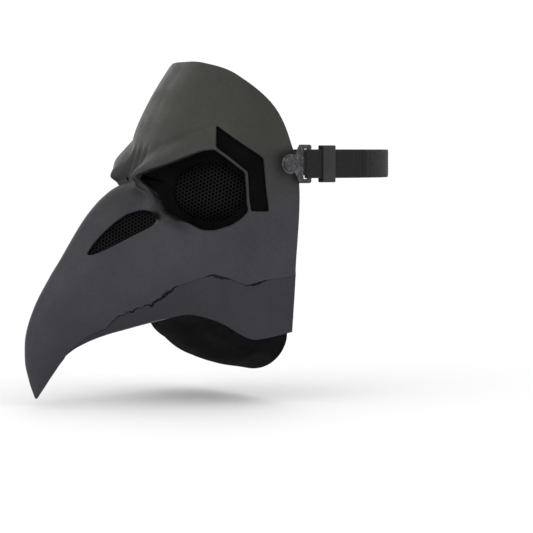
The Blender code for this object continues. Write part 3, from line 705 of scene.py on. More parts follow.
def knit():
    """Fine knitted cloth, brushed: rows of small loops, with pilling and slow fading."""
    look = Look("chin_cloth", 0.95, specular=0.03)
    rows = look.wave(900.0, "Z")
    ribs = look.wave(700.0, "X")
    loops = look.math("MULTIPLY", rows, ribs)
    dark, light = (0.0045, 0.0046, 0.0048), (0.0105, 0.0105, 0.0108)
    fade = look.ramp(look.noise(40.0, 4.0, 0.6), [(0.3, dark), (0.7, light)])
    fuzz = look.ramp(look.noise(1500.0, 2.0), [(0.4, (0.75, 0.75, 0.75)), (0.7, (1.35, 1.35, 1.35))])
    look.colour(look.mix(1.0, fade, fuzz, "MULTIPLY"))
    slow = look.bump(look.noise(220.0, 3.0), 0.35, 0.4)
    look.bump(loops, 0.35, 0.7, under=slow)
    return look.made


def foam():
    look = Look("dark_foam", 0.97, specular=0.15)
    cells = look.nodes.new("ShaderNodeTexVoronoi")
    cells.inputs["Scale"].default_value = 750.0
    look.links.new(look.place, cells.inputs["Vector"])
    depth = cells.outputs["Distance"]
    # Painted shade: the colour goes darker towards the bottom of each pore, following the same cells as the
    # bump.
    look.colour(look.ramp(depth, [(0.1, (0.012, 0.012, 0.013)), (0.6, (0.05, 0.05, 0.052))]))
    look.bump(depth, 0.5, 0.8)
    return look.made


def webbing():
    """Woven elastic: fine ribs across the band, lengthwise cords and a slight nap."""
    look = Look("elastic_band", 0.85, specular=0.25)
    look.set(Sheen_Weight=0.1, Sheen_Roughness=0.4)
    cords = look.wave(620.0, "Z")
    cross = look.math("ADD", look.wave(520.0, "Y"), look.wave(520.0, "X"))
    weave = look.math("MULTIPLY", cords, cross)
    # Painted shade: the colour goes darker where the weave is low, following the same pattern as the bump.
    tone = look.ramp(weave, [(0.1, (0.006, 0.006, 0.007)), (0.8, (0.022, 0.022, 0.024))])
    look.colour(tone)
    look.bump(weave, 0.3, 0.7)
    return look.made


def glue_strip():
    look = Look("joining_strip", 0.6, specular=0.35)
    dark, light = (0.012, 0.012, 0.014), (0.03, 0.03, 0.033)
    look.colour(look.ramp(look.noise(200.0, 4.0), [(0.35, dark), (0.7, light)]))
    look.bump(look.noise(500.0, 4.0, 0.7), 0.4, 0.6)
    return look.made


LOOKS = {
    "shell": moulded("moulded_shell", (0.0275, 0.027, 0.0225), (0.030, 0.030, 0.0385), 0.43),
    "jaw": moulded("moulded_jaw", (0.026, 0.025, 0.029), (0.023, 0.022, 0.029), 0.45),
    "strip": glue_strip(),
    "liner": black_moulded("black_liner", (0.003, 0.003, 0.0032), 0.85, specular=0.03),
    "mesh": black_moulded("black_mesh", (0.0045, 0.0045, 0.005), 0.6, specular=0.07),
    "foam": foam(),
    "cloth": knit(),
    "elastic": webbing(),
    "metal": steel(),
    "plastic": black_moulded("black_plastic", (0.018, 0.018, 0.019), 0.42),
    # Painted shadow: the near-black floors of the grilles' blind holes stand in for the shade seen through
    # open holes.
    "hole_shadow_floor": black_moulded("painted_hole_shadow", (0.0008, 0.0008, 0.001), 0.95, 2500.0, specular=0.01),
    "thread": black_moulded("sewing_thread", (0.03, 0.03, 0.032), 0.8, 3000.0),
}


# The mouldings --------------------------------------------------------------------------------------------


def bullnose(distance, radius):
    """How far a rounded edge falls back at a distance from the edge."""
    near = np.clip(radius - distance, 0, radius)
    return radius - np.sqrt(np.maximum(radius**2 - near**2, 0))


def skin_net(ring_stops, ring_counts, line_stops, line_counts):
    return grid(spread(ring_stops, ring_counts), spread(line_stops, line_counts))


def painted_socket_shade(at):
    """How much painted shade darkens the skin: a soft painted shadow at the inner lower corner of each eye
    opening, and a narrow half-dark painted band along the rest of the opening's edge.
    """
    points = sculpt(plain_skin(at), True)
    across, up, _ = sight_of(points)
    off = opening_field(points, EYE_LINE, NEAR_SIDE)
    corner = smooth(15, 27, across) * (1 - smooth(38, 52, across)) * smooth(0, -7, up)
    return corner * (1 - smooth(1.5, 10, off)) + 0.5 * (1 - smooth(0, 1.6, off)) * (1 - corner)


def moulding(name, field, net, depth, radius, look):
    """A wall that follows the skin at a depth, with rounded edges, on both sides of the mirror plane."""
    at, triangles = clipped(*net, field, [share * EDGE_ROUND for share in (0.12, 0.35, 0.7, 1.1)])
    rim = (LAST_RING - at[:, 0]) * LAST_STEP
    back = bullnose(np.minimum(np.maximum(field(at), 0), rim), radius(at))
    normal = outward(at)
    outer = skin(at)
    outer = undulated(outer, normal, 26.0, 0.32)
    outer = outer - normal * (back + depth(at))[:, None]
    plain = outward(at, False)
    inner_depth = depth(at) + np.maximum(WALL - np.minimum(back, EDGE_ROUND), back + 0.6)
    inner = skin(at, False) - plain * inner_depth[:, None]
    tip = at[:, 0] < TIP_RING
    if tip.any():
        cap = at[tip].copy()
        cap[:, 0] = TIP_RING
        wall = skin(cap, False) - outward(cap, False) * WALL
        centre = wall.mean(axis=0) * np.array([0, 1, 1])
        inner[tip] = centre + (wall - centre) * (at[tip, :1] / TIP_RING)
    on_plane = (at[:, 1] < 1e-6) | (at[:, 1] > FLOOR_LINE - 1e-6)
    outer[on_plane, 0] = 0
    inner[on_plane, 0] = 0
    # Painted shade round the eye openings, on the outer skin only; the inner copy gets none.
    shade = np.concatenate([painted_socket_shade(at), np.zeros(len(at))])
    points, faces, first = both_halves(*walled(outer, inner, triangles))
    made = made_mesh(name, points, faces, look)
    made.data.attributes.new("painted_socket_shade", "FLOAT", "POINT").data.foreach_set("value", shade[first])
    return made


def build_mouldings():
    lines = ([0.0, 1.0, 4.4, JAW_EDGE - 0.3, JAW_EDGE + 0.25, FLOOR_LINE], [15, 62, 16, 10, 8])
    net = skin_net([FIRST_RING, TIP_RING, 10.0, 13.8, 15.9, float(LAST_RING)], [16, 72, 74, 30, 6], *lines)

    def radius(at):
        points = sculpt(plain_skin(at), False)
        torn = np.minimum(gashes(points), 1.0)
        front = 1 - smooth(-20, 24, points[:, 1])
        at_mouth = 0.16 + 0.34 * front + 0.4 * torn
        across, up, towards = sight_of(points)
        nasal = smooth(17, 25, across) * (1 - smooth(36, 50, across)) * (up < 0) * (towards > NEAR_SIDE)
        near_eye = nasal * (opening_field(points, EYE_LINE, NEAR_SIDE) < 8)
        return np.where(np.abs(above_mouth(points)) < 2.0, at_mouth, EDGE_ROUND + 4.7 * near_eye)

    shell = moulding("moulded_face", shell_field, net, lambda at: np.zeros(len(at)), radius, LOOKS["shell"])
    placed(shell, "mask", ["face_shell"])
    lines = ([3.9, JAW_EDGE - 0.3, JAW_EDGE + 0.25, FLOOR_LINE], [34, 10, 8])
    net = skin_net([1.4, 10.0, 15.9, float(LAST_RING)], [88, 52, 6], *lines)

    def depth(at):
        return JAW_RECESS * (1 - 0.85 * smooth(8.5, 11.5, at[:, 0]))

    def radius(at):
        return 0.16 + 0.44 * (1 - smooth(7.0, 10.0, at[:, 0]))

    jaw = moulding("moulded_jaw", jaw_field, net, depth, radius, LOOKS["jaw"])
    placed(jaw, "mask", ["lower_jaw"])


# Eyes, nostrils and temples -------------------------------------------------------------------------------

EYE_CENTRE = np.array([62.6, -5.6])
EYE_HALF = np.array([25.5, 21.0])
EYE_ENDS = (10.0, 22.0)
EYE_DOME = 6.0
SOCKET_WALL = 1.0
HOLE_SIDES = 12
GRILLE_THICK = 1.2
HOLE_DEPTH = 0.9
# How far off the sight plane rays start
RAY_FROM = 90.0


def on_sight(flat, towards):
    """Places of the sight plane at a distance towards the viewer, in the frame."""
    flat = np.asarray(flat, float)
    reach = np.broadcast_to(towards, len(flat))
    return to_frame(flat[:, :1] * ACROSS + reach[:, None] * TOWARDS + flat[:, 1:] * UP)


def skin_tree(depth, fine=False):
    """The skin, moved inwards by a depth, as something that rays can be cast at."""
    at, triangles = skin_net([1.0, 10.0, 14.0, float(LAST_RING)], [60, 48, 20], [0.0, JAW_EDGE], [80])
    points = skin(at, fine) - outward(at, fine) * depth
    return BVHTree.FromPolygons(points.tolist(), triangles.tolist())


def reach_on(tree, flat):
    """How far towards the viewer a surface lies at places on the sight plane."""
    found = []
    for far, near in zip(on_sight(flat, RAY_FROM), on_sight(flat, 0.0)):
        hit = tree.ray_cast(Vector(far), Vector(near - far).normalized())[0]
        if hit is None:
            found.append(np.nan)
        else:
            found.append(RAY_FROM * (1 - (hit - Vector(far)).length / np.linalg.norm(near - far)))
    found = np.array(found)
    good = ~np.isnan(found)
    return np.interp(np.arange(len(found)), np.flatnonzero(good), found[good])


def grown(outline, amount):
    """A closed outline moved outwards square to itself."""
    ahead, behind = np.roll(outline, -1, axis=0) - outline, outline - np.roll(outline, 1, axis=0)
    both = unit(unit(ahead) + unit(behind))
    return outline + np.stack([-both[:, 1], both[:, 0]], axis=1) * amount


def eye_reach(flat):
    """The domed eye mesh's distance towards the viewer."""
    share = (flat - EYE_CENTRE) / EYE_HALF
    lean = np.clip(share[:, 0] / 2 + 0.5, -0.1, 1.1)
    dome = EYE_DOME * np.maximum(1 - (share**2).sum(axis=1), 0)
    return EYE_ENDS[0] + lean * (EYE_ENDS[1] - EYE_ENDS[0]) + dome


def softened(values, passes):
    for _ in range(passes):
        values = (np.roll(values, 1, axis=0) + values * 2 + np.roll(values, -1, axis=0)) / 4
    return values


def build_sockets():
    """Behind each eye opening a black socket runs in from the whole opening to the mesh's oval seat."""
    outline = eased(EYE_OPENING, 2.2, 2)
    ray = outline - EYE_CENTRE
    angle = np.arctan2(ray[:, 1] / EYE_HALF[1], ray[:, 0] / EYE_HALF[0])
    seat = EYE_CENTRE + np.stack([np.cos(angle), np.sin(angle)], axis=1) * EYE_HALF
    inner_wall = skin_tree(WALL)
    flange = grown(outline, 2.4)
    edge_reach = np.minimum(reach_on(inner_wall, outline), reach_on(inner_wall, grown(outline, 0.8)))
    edge_reach = softened(edge_reach, 3)
    flange_reach = np.minimum(softened(reach_on(inner_wall, flange), 2), edge_reach + 6) - 0.6
    rows = [on_sight(flange, flange_reach), on_sight(grown(outline, 0.6), edge_reach - 0.7)]
    bottom = eye_reach(seat)
    for share in np.linspace(0.12, 1, 9):
        inward = share**1.5
        down = math.sin(share * math.pi / 2)
        flat = outline * (1 - inward) + seat * inward
        rows.append(on_sight(flat, (edge_reach - 0.9) * (1 - down) + bottom * down))
    front = np.array(rows)
    along = np.gradient(front, axis=0)
    around = np.roll(front, -1, axis=1) - np.roll(front, 1, axis=1)
    normal = unit(np.cross(along, around))
    normal *= np.sign((normal * TOWARDS).sum(axis=-1).mean())
    shell = np.concatenate([front, (front - normal * SOCKET_WALL)[::-1]])
    for side, sign in SIDES:
        faces = loop_faces(len(shell), shell.shape[1], closed_rows=True)
        points = mirrored(shell.reshape(-1, 3), sign)
        made = outwards(made_mesh(side + "_socket", points, faces, LOOKS["liner"], 50))
        placed(made, "mask", [side + "_eye_cup"])


def perforated(place, reach, keep, middle, pitch, hole, turn):
    """A sheet of six-sided cells with a round blind hole in each, laid on a surface above the sight plane;
    the hole floors are painted near black as the shadow seen through the holes.
    """
    turns = np.arange(HOLE_SIDES) * math.tau / HOLE_SIDES
    corners = np.where(np.arange(HOLE_SIDES) % 2 == 0, pitch / 2, pitch / math.sqrt(3))
    circle = np.stack([np.cos(turns), np.sin(turns)], axis=1)
    steps = int(40 / pitch)
    cells = [((i + 0.5 * (j % 2)) * pitch, j * pitch * math.sqrt(3) / 2)
             for j in range(-steps, steps + 1) for i in range(-steps, steps + 1)]
    spin = np.array([[math.cos(turn), math.sin(turn)], [-math.sin(turn), math.cos(turn)]])
    cells = np.array(cells)
    inside = keep(cells @ spin + middle)
    flats, backs, faces, dark = [], [], [], []
    for cell in cells[inside]:
        first = len(flats) * HOLE_SIDES
        loops = [(circle * corners[:, None], 0.0), (circle * hole, 0.0), (circle * hole, HOLE_DEPTH),
                 (circle * corners[:, None], GRILLE_THICK)]
        for loop, back in loops:
            flats.append((loop + cell) @ spin + middle)
            backs.append(np.full(HOLE_SIDES, back))
        for k in range(HOLE_SIDES):
            n = (k + 1) % HOLE_SIDES
            faces.append((first + k, first + n, first + HOLE_SIDES + n, first + HOLE_SIDES + k))
            faces.append(tuple(first + HOLE_SIDES + m for m in (k, n, HOLE_SIDES + n, HOLE_SIDES + k)))
            dark += [False, True]
        faces.append(tuple(first + 2 * HOLE_SIDES + k for k in range(HOLE_SIDES)))
        faces.append(tuple(first + 3 * HOLE_SIDES + HOLE_SIDES - 1 - k for k in range(HOLE_SIDES)))
        dark += [True, False]
    flat, back = np.concatenate(flats), np.concatenate(backs)
    points = on_sight(flat, reach(flat) - back)
    corner_count = len(points)
    edges = {}
    for cell in range(corner_count // (4 * HOLE_SIDES)):
        for k in range(HOLE_SIDES):
            a, b = cell * 4 * HOLE_SIDES + k, cell * 4 * HOLE_SIDES + (k + 1) % HOLE_SIDES
            key = tuple(np.round((flat[a] + flat[b]) * 50).astype(int))
            edges.setdefault(key, []).append((a, b))
    for sides in edges.values():
        if len(sides) == 1:
            a, b = sides[0]
            faces.append((b, a, a + 3 * HOLE_SIDES, b + 3 * HOLE_SIDES))
            dark.append(False)
    for side, sign in SIDES:
        made = made_mesh(f"{side}_{place}_grille", mirrored(points, sign), faces, LOOKS["mesh"], 40)
        # The hole floors take the painted shadow material.
        made.data.materials.append(LOOKS["hole_shadow_floor"])
        for face, is_dark in zip(made.data.polygons, dark):
            face.material_index = int(is_dark)
        outwards(made)
        made.data.set_sharp_from_angle(angle=math.radians(40))
        placed(made, "mask", [f"{side}_{place}_mesh"])


def build_meshes():
    def in_eye(flat):
        share = (flat - EYE_CENTRE) / (EYE_HALF + 3.2)
        return (share**2).sum(axis=1) < 1

    perforated("eye", lambda flat: eye_reach(flat) - 1.3, in_eye, EYE_CENTRE, 2.7, 0.86, math.radians(24))
    behind_skin = skin_tree(WALL + 0.7)

    def in_nostril(flat):
        return outside(flat, NOSTRIL_LINE) < 3.6

    perforated("nostril", lambda flat: reach_on(behind_skin, flat), in_nostril, np.array([4.0, -34.0]),
               2.5, 0.8, math.radians(28))


def patch(name, net, field, near, far, node, slot):
    """A sheet behind the skin between two depths, cut to a field."""
    at, triangles = clipped(*net, field) if field else net
    normal, plain = outward(at, False), skin(at, False)
    points, faces = walled(plain - normal * near(at)[:, None], plain - normal * far(at)[:, None], triangles)
    for side, sign in SIDES:
        turned_faces = faces if sign > 0 else faces[:, ::-1]
        made = made_mesh(f"{side}_{name}", mirrored(points, sign), turned_faces, LOOKS[slot], 50)
        placed(made, "mask", [f"{side}_{node}"])


def flat_depth(amount):
    return lambda at: np.full(len(at), amount)


def build_temple_liners():
    def field(at):
        points = sculpt(plain_skin(at), False)
        window = 5.0 - opening_field(points, WINDOW_LINE, -10.0)
        return np.minimum(window, opening_field(points, EYE_LINE, -12.0) - 0.9)

    net = skin_net([12.0, float(LAST_RING)], [60], [1.8, 4.8], [50])
    near, far = flat_depth(WALL + 0.15), flat_depth(WALL + 1.1)
    patch("temple_backing", net, field, near, far, "temple_liner", "liner")


def build_seam_strips():
    net = skin_net([5.5, 15.75], [90], [4.7, 5.3], [10])

    def far(at):
        across = np.abs(at[:, 1] - 5.0) / 0.3
        return JAW_RECESS + WALL + 0.3 + 1.3 * np.sqrt(np.maximum(1 - across**4, 0.02))

    patch("joining_strip", net, None, flat_depth(JAW_RECESS + WALL + 0.15), far, "seam_strip", "strip")


# Pads and cloth -------------------------------------------------------------------------------------------


def net_faces(rows, columns):
    return [(r * columns + c, r * columns + c + 1, (r + 1) * columns + c + 1, (r + 1) * columns + c)
            for r in range(rows - 1) for c in range(columns - 1)]


def pillow(name, front, back, look):
    """A closed piece between two nets that meet at their borders."""
    rows, columns = front.shape[:2]
    count = rows * columns
    faces = net_faces(rows, columns)
    faces += [tuple(count + k for k in reversed(face)) for face in faces]
    made = made_mesh(name, np.concatenate([front.reshape(-1, 3), back.reshape(-1, 3)]), faces, look)
    ring = [k for k in range(columns)] + [r * columns + columns - 1 for r in range(1, rows)]
    ring += [(rows - 1) * columns + c for c in range(columns - 2, -1, -1)]
    ring += [r * columns for r in range(rows - 2, 0, -1)]
    shaped = bmesh.new()
    shaped.from_mesh(made.data)
    shaped.verts.ensure_lookup_table()
    for a, b in zip(ring, ring[1:] + ring[:1]):
        corners = [shaped.verts[k] for k in (a, b, count + b, count + a)]
        shaped.faces.new(corners)
    shaped.to_mesh(made.data)
    shaped.free()
    outwards(made)
    made.data.shade_smooth()
    return made


def build_forehead_pad():
    low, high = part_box("forehead_pad")
    inner_wall = skin_tree(WALL + 0.6)
    rows, columns = 22, 54
    across = np.linspace(low.x, high.x, columns) / MM
    level = np.linspace(low.z, high.z, rows) / MM
    edge = np.maximum(np.abs(np.linspace(-1, 1, rows))[:, None] ** 7,
                      np.abs(np.linspace(-1, 1, columns)) ** 16)
    front, back = np.zeros((rows, columns, 3)), np.zeros((rows, columns, 3))
    for r in range(rows):
        for c in range(columns):
            hit = inner_wall.ray_cast(Vector((abs(across[c]), 0.0, level[r])), Vector((0, -1, 0)))[0]
            front[r, c] = (across[c], hit.y, level[r])
            thick = (high.y / MM - hit.y) * (1 - 0.75 * edge[r, c])
            back[r, c] = (across[c], hit.y + thick, level[r])
    pad = pillow("forehead_foam", front, back, LOOKS["foam"])
    placed(pad, "mask", ["forehead_pad"])


def build_cheek_pads():
    rings, lines = np.linspace(12.9, 15.2, 30), np.linspace(4.42, 4.66, 14)
    at = np.stack(np.meshgrid(rings, lines, indexing="ij"), axis=-1).reshape(-1, 2)
    edge = np.maximum(np.abs(np.linspace(-1, 1, 30))[:, None] ** 10, np.abs(np.linspace(-1, 1, 14)) ** 6)
    normal, plain = outward(at, False), skin(at, False)
    near = (plain - normal * (WALL + 1.3)).reshape(30, 14, 3)
    far = (plain - normal * (WALL + 1.5 + 6.6 * (1 - 0.7 * edge.reshape(-1, 1)))).reshape(30, 14, 3)
    for side, sign in SIDES:
        pad = pillow(side + "_cheek_foam", mirrored(near, sign), mirrored(far, sign), LOOKS["foam"])
        placed(pad, "mask", [side + "_cheek_pad"])


def curve_through(table, at):
    """A smooth curve through a table's rows."""
    table = np.asarray(table, float)
    rows = np.concatenate([2 * table[:1] - table[1:2], table, 2 * table[-1:] - table[-2:-1]])
    index, shares = row_weights(np.asarray(at, float), len(table))
    return sum(shares[:, k, None] * rows[index + k] for k in range(4))


def build_chin_cover():
    """Cloth held along the inside of the lower moulding's edge, hanging under the chin in shallow folds.

    Its front end lies on the inside of the beak's floor."""
    belly_count = 34
    on_floor = np.linspace(CHIN_RING - 0.5, CHIN_RING - 0.02, 5)
    rings = np.linspace(CHIN_RING + 0.2, LAST_RING - 0.1, 70)
    depth = JAW_RECESS + WALL + 1.1
    even = np.linspace(0, len(CHIN_LINE) - 1, len(rings))
    low = to_frame(curve_through([(0, *p) for p in CHIN_LINE], even))
    inside = to_frame(floor_skin(on_floor, np.zeros(len(on_floor)))) + UP * (depth - 0.4)
    rings, low = np.concatenate([on_floor, rings]), np.concatenate([inside, low])
    count = len(rings)
    lying = 1 - smooth(CHIN_RING, CHIN_RING + 0.5, rings)
    flatter = 1 + 1 - smooth(CHIN_RING, CHIN_RING + 2.4, rings)
    layers = []
    for back in (0.0, 0.9):
        columns = []
        for line in (5.62, 5.8, 5.95):
            at = np.stack([rings, line - 0.22 * lying], axis=1)
            columns.append(skin(at, False) - outward(at, False) * (depth + back))
        hem = columns[-1]
        for share in np.linspace(0, 1, belly_count)[1:]:
            across, down = math.cos(share * math.pi / 2), math.sin(share * math.pi / 2) ** flatter
            place = np.stack([hem[:, 0] * across, hem[:, 1] + (low[:, 1] - hem[:, 1]) * share,
                              hem[:, 2] + (low[:, 2] + back - hem[:, 2]) * down], axis=1)
            fold = np.sin(rings * 3.1 + share * 2.4) * 0.9 + np.sin(rings * 6.7 - share * 5.0) * 0.45
            fold = fold * math.sin(share * math.pi) ** 0.7 * smooth(0, 0.25, share) * 0.9
            place[:, 2] -= fold * (1 - lying)
            columns.append(place)
        half = np.stack(columns, axis=1)
        half[:, -1, 0] = 0
        layers.append(np.concatenate([half, (half * np.array([-1, 1, 1]))[:, -2::-1]], axis=1))
    cloth = pillow("chin_cloth", layers[0], layers[1], LOOKS["cloth"])
    placed(cloth, "mask", ["chin_cover"])


# The strap ------------------------------------------------------------------------------------------------

STRAP_WIDTH = 20.0
STRAP_THICK = 1.4
TAIL_END = 57.0
RUN_END = 60.0
SLOT_BACK = 14.0
PLATE = 1.5


def strap_places():
    """The middle of the doubled run and how far from it each layer lies, from the frame's strap and plate."""
    plate_low, plate_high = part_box("left_strap_anchor")
    centre = (plate_low.x + plate_high.x) / 2 / MM
    return centre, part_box("head_strap")[1].x / MM - STRAP_THICK / 2 - centre


def strap_line():
    """The middle of the strap seen from above, from its left tail round the head to its right tail."""
    centre, off = strap_places()
    rear = (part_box("head_strap")[1].y / MM) - STRAP_THICK / 2
    line = [(centre + off, y) for y in np.linspace(TAIL_END, SLOT_BACK + 0.2, 44)[:-1]]
    line += [(centre + off * math.cos(a), SLOT_BACK + 0.2 - off * math.sin(a))
             for a in np.linspace(0, math.pi, 19)]
    line += [(centre - off, y) for y in np.linspace(SLOT_BACK + 0.2, RUN_END, 44)[1:-1]]
    line += [((centre - off) * math.cos(a), RUN_END + (rear - RUN_END) * math.sin(a))
             for a in np.linspace(0, math.pi / 2, 70)]
    line = np.array(line)
    return np.concatenate([line, (line * np.array([-1, 1]))[-2::-1]])


def build_strap():
    """Woven elastic with lengthwise cords and soft edges."""
    line = strap_line()
    ahead = unit(np.gradient(line, axis=0))
    out = np.stack([ahead[:, 1], -ahead[:, 0]], axis=1)
    half = STRAP_WIDTH / 2
    heights = np.linspace(-half, half, 37)
    edge = np.sqrt(np.maximum(1 - (np.abs(heights) / half) ** 14, 0.0))
    cord = STRAP_THICK / 2 * (0.9 + 0.1 * np.cos(heights * math.tau / 2.0)) * (0.35 + 0.65 * edge)
    section = [(d, z) for d, z in zip(cord, heights)] + [(-d, z) for d, z in zip(cord[::-1], heights[::-1])]
    points = [[(*(p + n * d), z) for d, z in section] for p, n in zip(line, out)]
    band = outwards(made_mesh("elastic_strap", np.array(points).reshape(-1, 3),
                              loop_faces(len(points), len(section)), LOOKS["elastic"], 60))
    placed(band, "strap", ["head_strap"])
    centre, off = strap_places()
    for side, sign in SIDES:
        points, faces = [], []
        for row in (TAIL_END - 0.9, TAIL_END - 2.6):
            for z in np.arange(-half + 1.4, half - 1.2, 1.9):
                first = len(points)
                for share in np.linspace(-1, 1, 7):
                    thick = 0.24 * math.sqrt(max(1 - share**6, 0.15))
                    lift = off + STRAP_THICK / 2 + 0.02 + 0.12 * (1 - share**2)
                    for angle in np.arange(6) * math.tau / 6:
                        points.append((sign * (centre + lift + thick * math.cos(angle)),
                                       row + thick * math.sin(angle), z + share * 0.72))
                faces += [tuple(first + k for k in face) for face in loop_faces(7, 6)]
        thread = outwards(made_mesh(side + "_tail_stitches", points, faces, LOOKS["thread"]))
        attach(thread, "strap")


def plate_from(name, outlines, thick, bevel, turn, place, look):
    """A flat plate with rounded edges from an outline and its holes, turned and moved into place."""
    curve = bpy.data.curves.new(name, "CURVE")
    curve.dimensions = "2D"
    curve.fill_mode = "BOTH"
    curve.extrude = (thick / 2 - bevel) * MM
    curve.bevel_depth = bevel * MM
    curve.bevel_resolution = 2
    curve.offset = -bevel * MM
    for outline in outlines:
        line = curve.splines.new("POLY")
        line.points.add(len(outline) - 1)
        for point, (x, y) in zip(line.points, outline):
            point.co = (x * MM, y * MM, 0, 1)
        line.use_cyclic_u = True
    helper = bpy.data.objects.new(name + "_outline", curve)
    bpy.context.scene.collection.objects.link(helper)
    bpy.context.view_layer.update()
    mesh = bpy.data.meshes.new_from_object(helper.evaluated_get(bpy.context.evaluated_depsgraph_get()))
    bpy.data.objects.remove(helper)
    points = np.array([v.co for v in mesh.vertices]) @ np.array(turn, float) + np.array(place) * MM
    for vertex, co in zip(mesh.vertices, points):
        vertex.co = co
    mesh.materials.clear()
    mesh.materials.append(look)
    made = bpy.data.objects.new(name, mesh)
    bpy.context.scene.collection.objects.link(made)
    outwards(made)
    mesh.shade_smooth()
    mesh.set_sharp_from_angle(angle=math.radians(45))
    return made


def arc(middle, radius, first, last, count):
    """Points along an arc, from one angle in degrees to another."""
    turns = np.radians(np.linspace(first, last, count))
    return [(middle[0] + radius * math.cos(a), middle[1] + radius * math.sin(a)) for a in turns]


def rounded_box(low, high, radius):
    (x0, y0), (x1, y1) = low, high
    corners = (((x1 - radius, y1 - radius), 0), ((x0 + radius, y1 - radius), 90),
               ((x0 + radius, y0 + radius), 180), ((x1 - radius, y0 + radius), 270))
    return [p for middle, start in corners for p in arc(middle, radius, start, start + 90, 6)]


def build_anchors():
    """A plate at each temple: a round head on the rivet and a bar that the strap is folded round."""
    low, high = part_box("left_strap_anchor")
    head, back, tall = -low.y / MM, high.y / MM, high.z / MM
    slot = (SLOT_BACK - 3.4, SLOT_BACK)
    neck = slot[0] - 3
    outline = arc((0, 0), head, 60, 300, 29) + [(neck, -tall)]
    outline += arc((back - 1.5, -tall + 1.5), 1.5, -90, 0, 6) + arc((back - 1.5, tall - 1.5), 1.5, 0, 90, 6)
    outline += [(neck, tall)]
    hole = arc((0, 0), RIVET_BORE, 0, 345, 24)
    inside = STRAP_WIDTH / 2 + 0.5
    opening = rounded_box((slot[0], -inside), (slot[1], inside), 0.8)
    centre = strap_places()[0]
    for side, sign in SIDES:
        turn = [(0, 1, 0), (0, 0, 1), (1, 0, 0)]
        plate = plate_from(side + "_anchor", [outline, hole, opening], PLATE, 0.3, turn,
                           (sign * centre, 0, 0), LOOKS["metal"])
        placed(plate, "strap", [side + "_strap_anchor"])


def build_sliders():
    """A moulded keeper with two slots and a bar between the strap's layers."""
    for side, sign in SIDES:
        low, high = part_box(side + "_slider")
        middle = (low + high) / 2 / MM
        half_x, half_z = (high.x - low.x) / 2 / MM, (high.z - low.z) / 2 / MM
        off = strap_places()[1]
        slot, tall = STRAP_THICK / 2 + 0.3, STRAP_WIDTH / 2 + 0.3
        outlines = [rounded_box((-half_x, -half_z), (half_x, half_z), 0.9)]
        for at in (-off, off):
            outlines.append(rounded_box((at - slot, -tall), (at + slot, tall), 0.3))
        turn = [(1, 0, 0), (0, 0, 1), (0, 1, 0)]
        thick = (high.y - low.y) / MM
        keeper = plate_from(side + "_keeper", outlines, thick, 0.35, turn, middle, LOOKS["plastic"])
        placed(keeper, side + "_slider", [side + "_slider"])


def turned(name, profile, look, closed=False):
    """A turned piece on the X axis from (distance along X, radius)."""
    steps, sharp = 40, 35
    angles = np.arange(steps) * math.tau / steps
    loops = [[(x, r * math.cos(a), r * math.sin(a)) for a in angles] for x, r in profile]
    faces = loop_faces(len(loops), steps, closed_rows=closed)
    return outwards(made_mesh(name, np.array(loops).reshape(-1, 3), faces, look, sharp))


def build_rivets():
    for side, sign in SIDES:
        def ends(node):
            low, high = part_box(f"{side}_{node}")
            near, far = sorted((abs(low.x) / MM, abs(high.x) / MM))
            return near, far, high.z / MM

        near, far, head = ends("strap_rivet")
        crown = far - 2.0
        dome = [(crown + 2.0 * math.sin(a), head * math.cos(a) ** 0.8)
                for a in np.radians(np.linspace(8, 84, 12))]
        tail = near + 1.2
        profile = [(near, 2.3), (near + 0.15, 2.9), (near + 0.5, 3.5), (tail - 0.15, 3.95), (tail, 3.8),
                   (tail, 2.0), (crown, 2.0), (crown, head - 0.35), (crown + 0.12, head - 0.08)] + dome
        rivet = turned(side + "_rivet", [(sign * x, r) for x, r in profile], LOOKS["metal"])
        placed(rivet, "mask", [side + "_strap_rivet"])
        bore = RIVET_BORE
        for node, slot in (("rivet_washer", "metal"), ("rivet_spacer", "plastic")):
            near, far, radius = ends(node)
            soft = 0.2
            profile = [(near, bore + soft), (near, radius - soft), (near + soft, radius),
                       (far - soft, radius), (far, radius - soft), (far, bore + soft),
                       (far - soft, bore), (near + soft, bore)]
            made = turned(f"{side}_{node[6:]}", [(sign * x, r) for x, r in profile], LOOKS[slot], closed=True)
            placed(made, "mask", [f"{side}_{node}"])


build_mouldings()
build_sockets()
build_meshes()
build_temple_liners()
build_seam_strips()
build_forehead_pad()
build_cheek_pads()
build_chin_cover()
build_strap()
build_anchors()
build_sliders()
build_rivets()


# The stage ------------------------------------------------------------------------------------------------


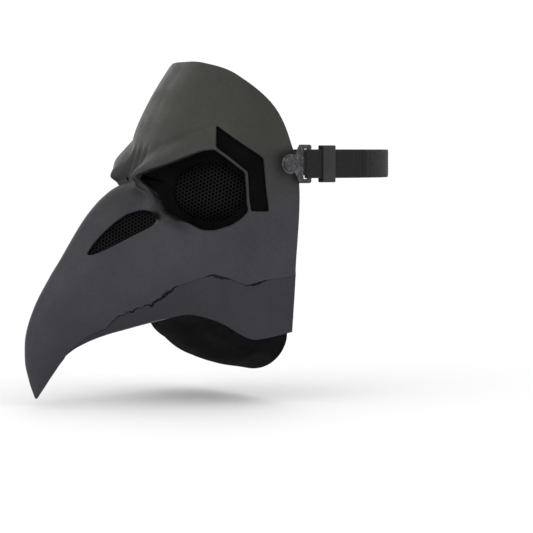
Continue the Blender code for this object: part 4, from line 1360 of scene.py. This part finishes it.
def build_stage():
    low, high = CAD_BOX
    size = 6.0
    floor = bpy.data.meshes.new("floor")
    level = low.z - 0.004
    corners = [(-size, -size, level), (size, -size, level), (size, size, level), (-size, size, level)]
    floor.from_pydata(corners, [], [(0, 1, 2, 3)])
    look = Look("pale_floor", 0.7, specular=0.3)
    look.colour(look.ramp(look.noise(3.0, 3.0), [(0.3, (0.95, 0.95, 0.95)), (0.7, (0.97, 0.97, 0.97))]))
    floor.materials.append(look.made)
    made = bpy.data.objects.new("floor", floor)
    bpy.context.scene.collection.objects.link(made)
    world = bpy.data.worlds.new("soft_room")
    world.use_nodes = True
    world.node_tree.nodes["Background"].inputs["Color"].default_value = (1.0, 1.0, 1.0, 1.0)
    world.node_tree.nodes["Background"].inputs["Strength"].default_value = 1.05
    bpy.context.scene.world = world
    bpy.context.scene.view_settings.view_transform = "Standard"


def aimed(made, place, target):
    made.location = place
    made.rotation_euler = (Vector(target) - Vector(place)).to_track_quat("-Z", "Y").to_euler()
    bpy.context.scene.collection.objects.link(made)


AIM = 101.9 * ACROSS + 20.0 * TOWARDS - 57.8 * UP
CAMERA_AWAY = 1.6


def build_camera_and_lights():
    middle = Vector(to_frame(AIM) * MM)
    sight, across, up = Vector(TOWARDS), Vector(ACROSS), Vector(UP)
    lift = math.radians(3)
    camera = bpy.data.objects.new("camera", bpy.data.cameras.new("camera"))
    camera.data.lens = 154
    camera.data.sensor_width = 36
    aimed(camera, middle + (sight * math.cos(lift) + up * math.sin(lift)) * CAMERA_AWAY, middle)
    bpy.context.scene.camera = camera
    for name, where, size, power in (
        ("key", -across * 0.55 + sight * 0.75 + up * 0.75, 0.7, 1.5),
        ("rim", -across * 0.9 - sight * 0.1 + up * 0.5, 0.5, 0.3),
        ("fill", across * 0.5 + sight * 1.0 - up * 0.1, 0.8, 0.6),
    ):
        light = bpy.data.lights.new(name, "AREA")
        light.shape = "SQUARE"
        light.size = size
        light.energy = power
        aimed(bpy.data.objects.new(name, light), middle + where, middle)


build_stage()
build_camera_and_lights()
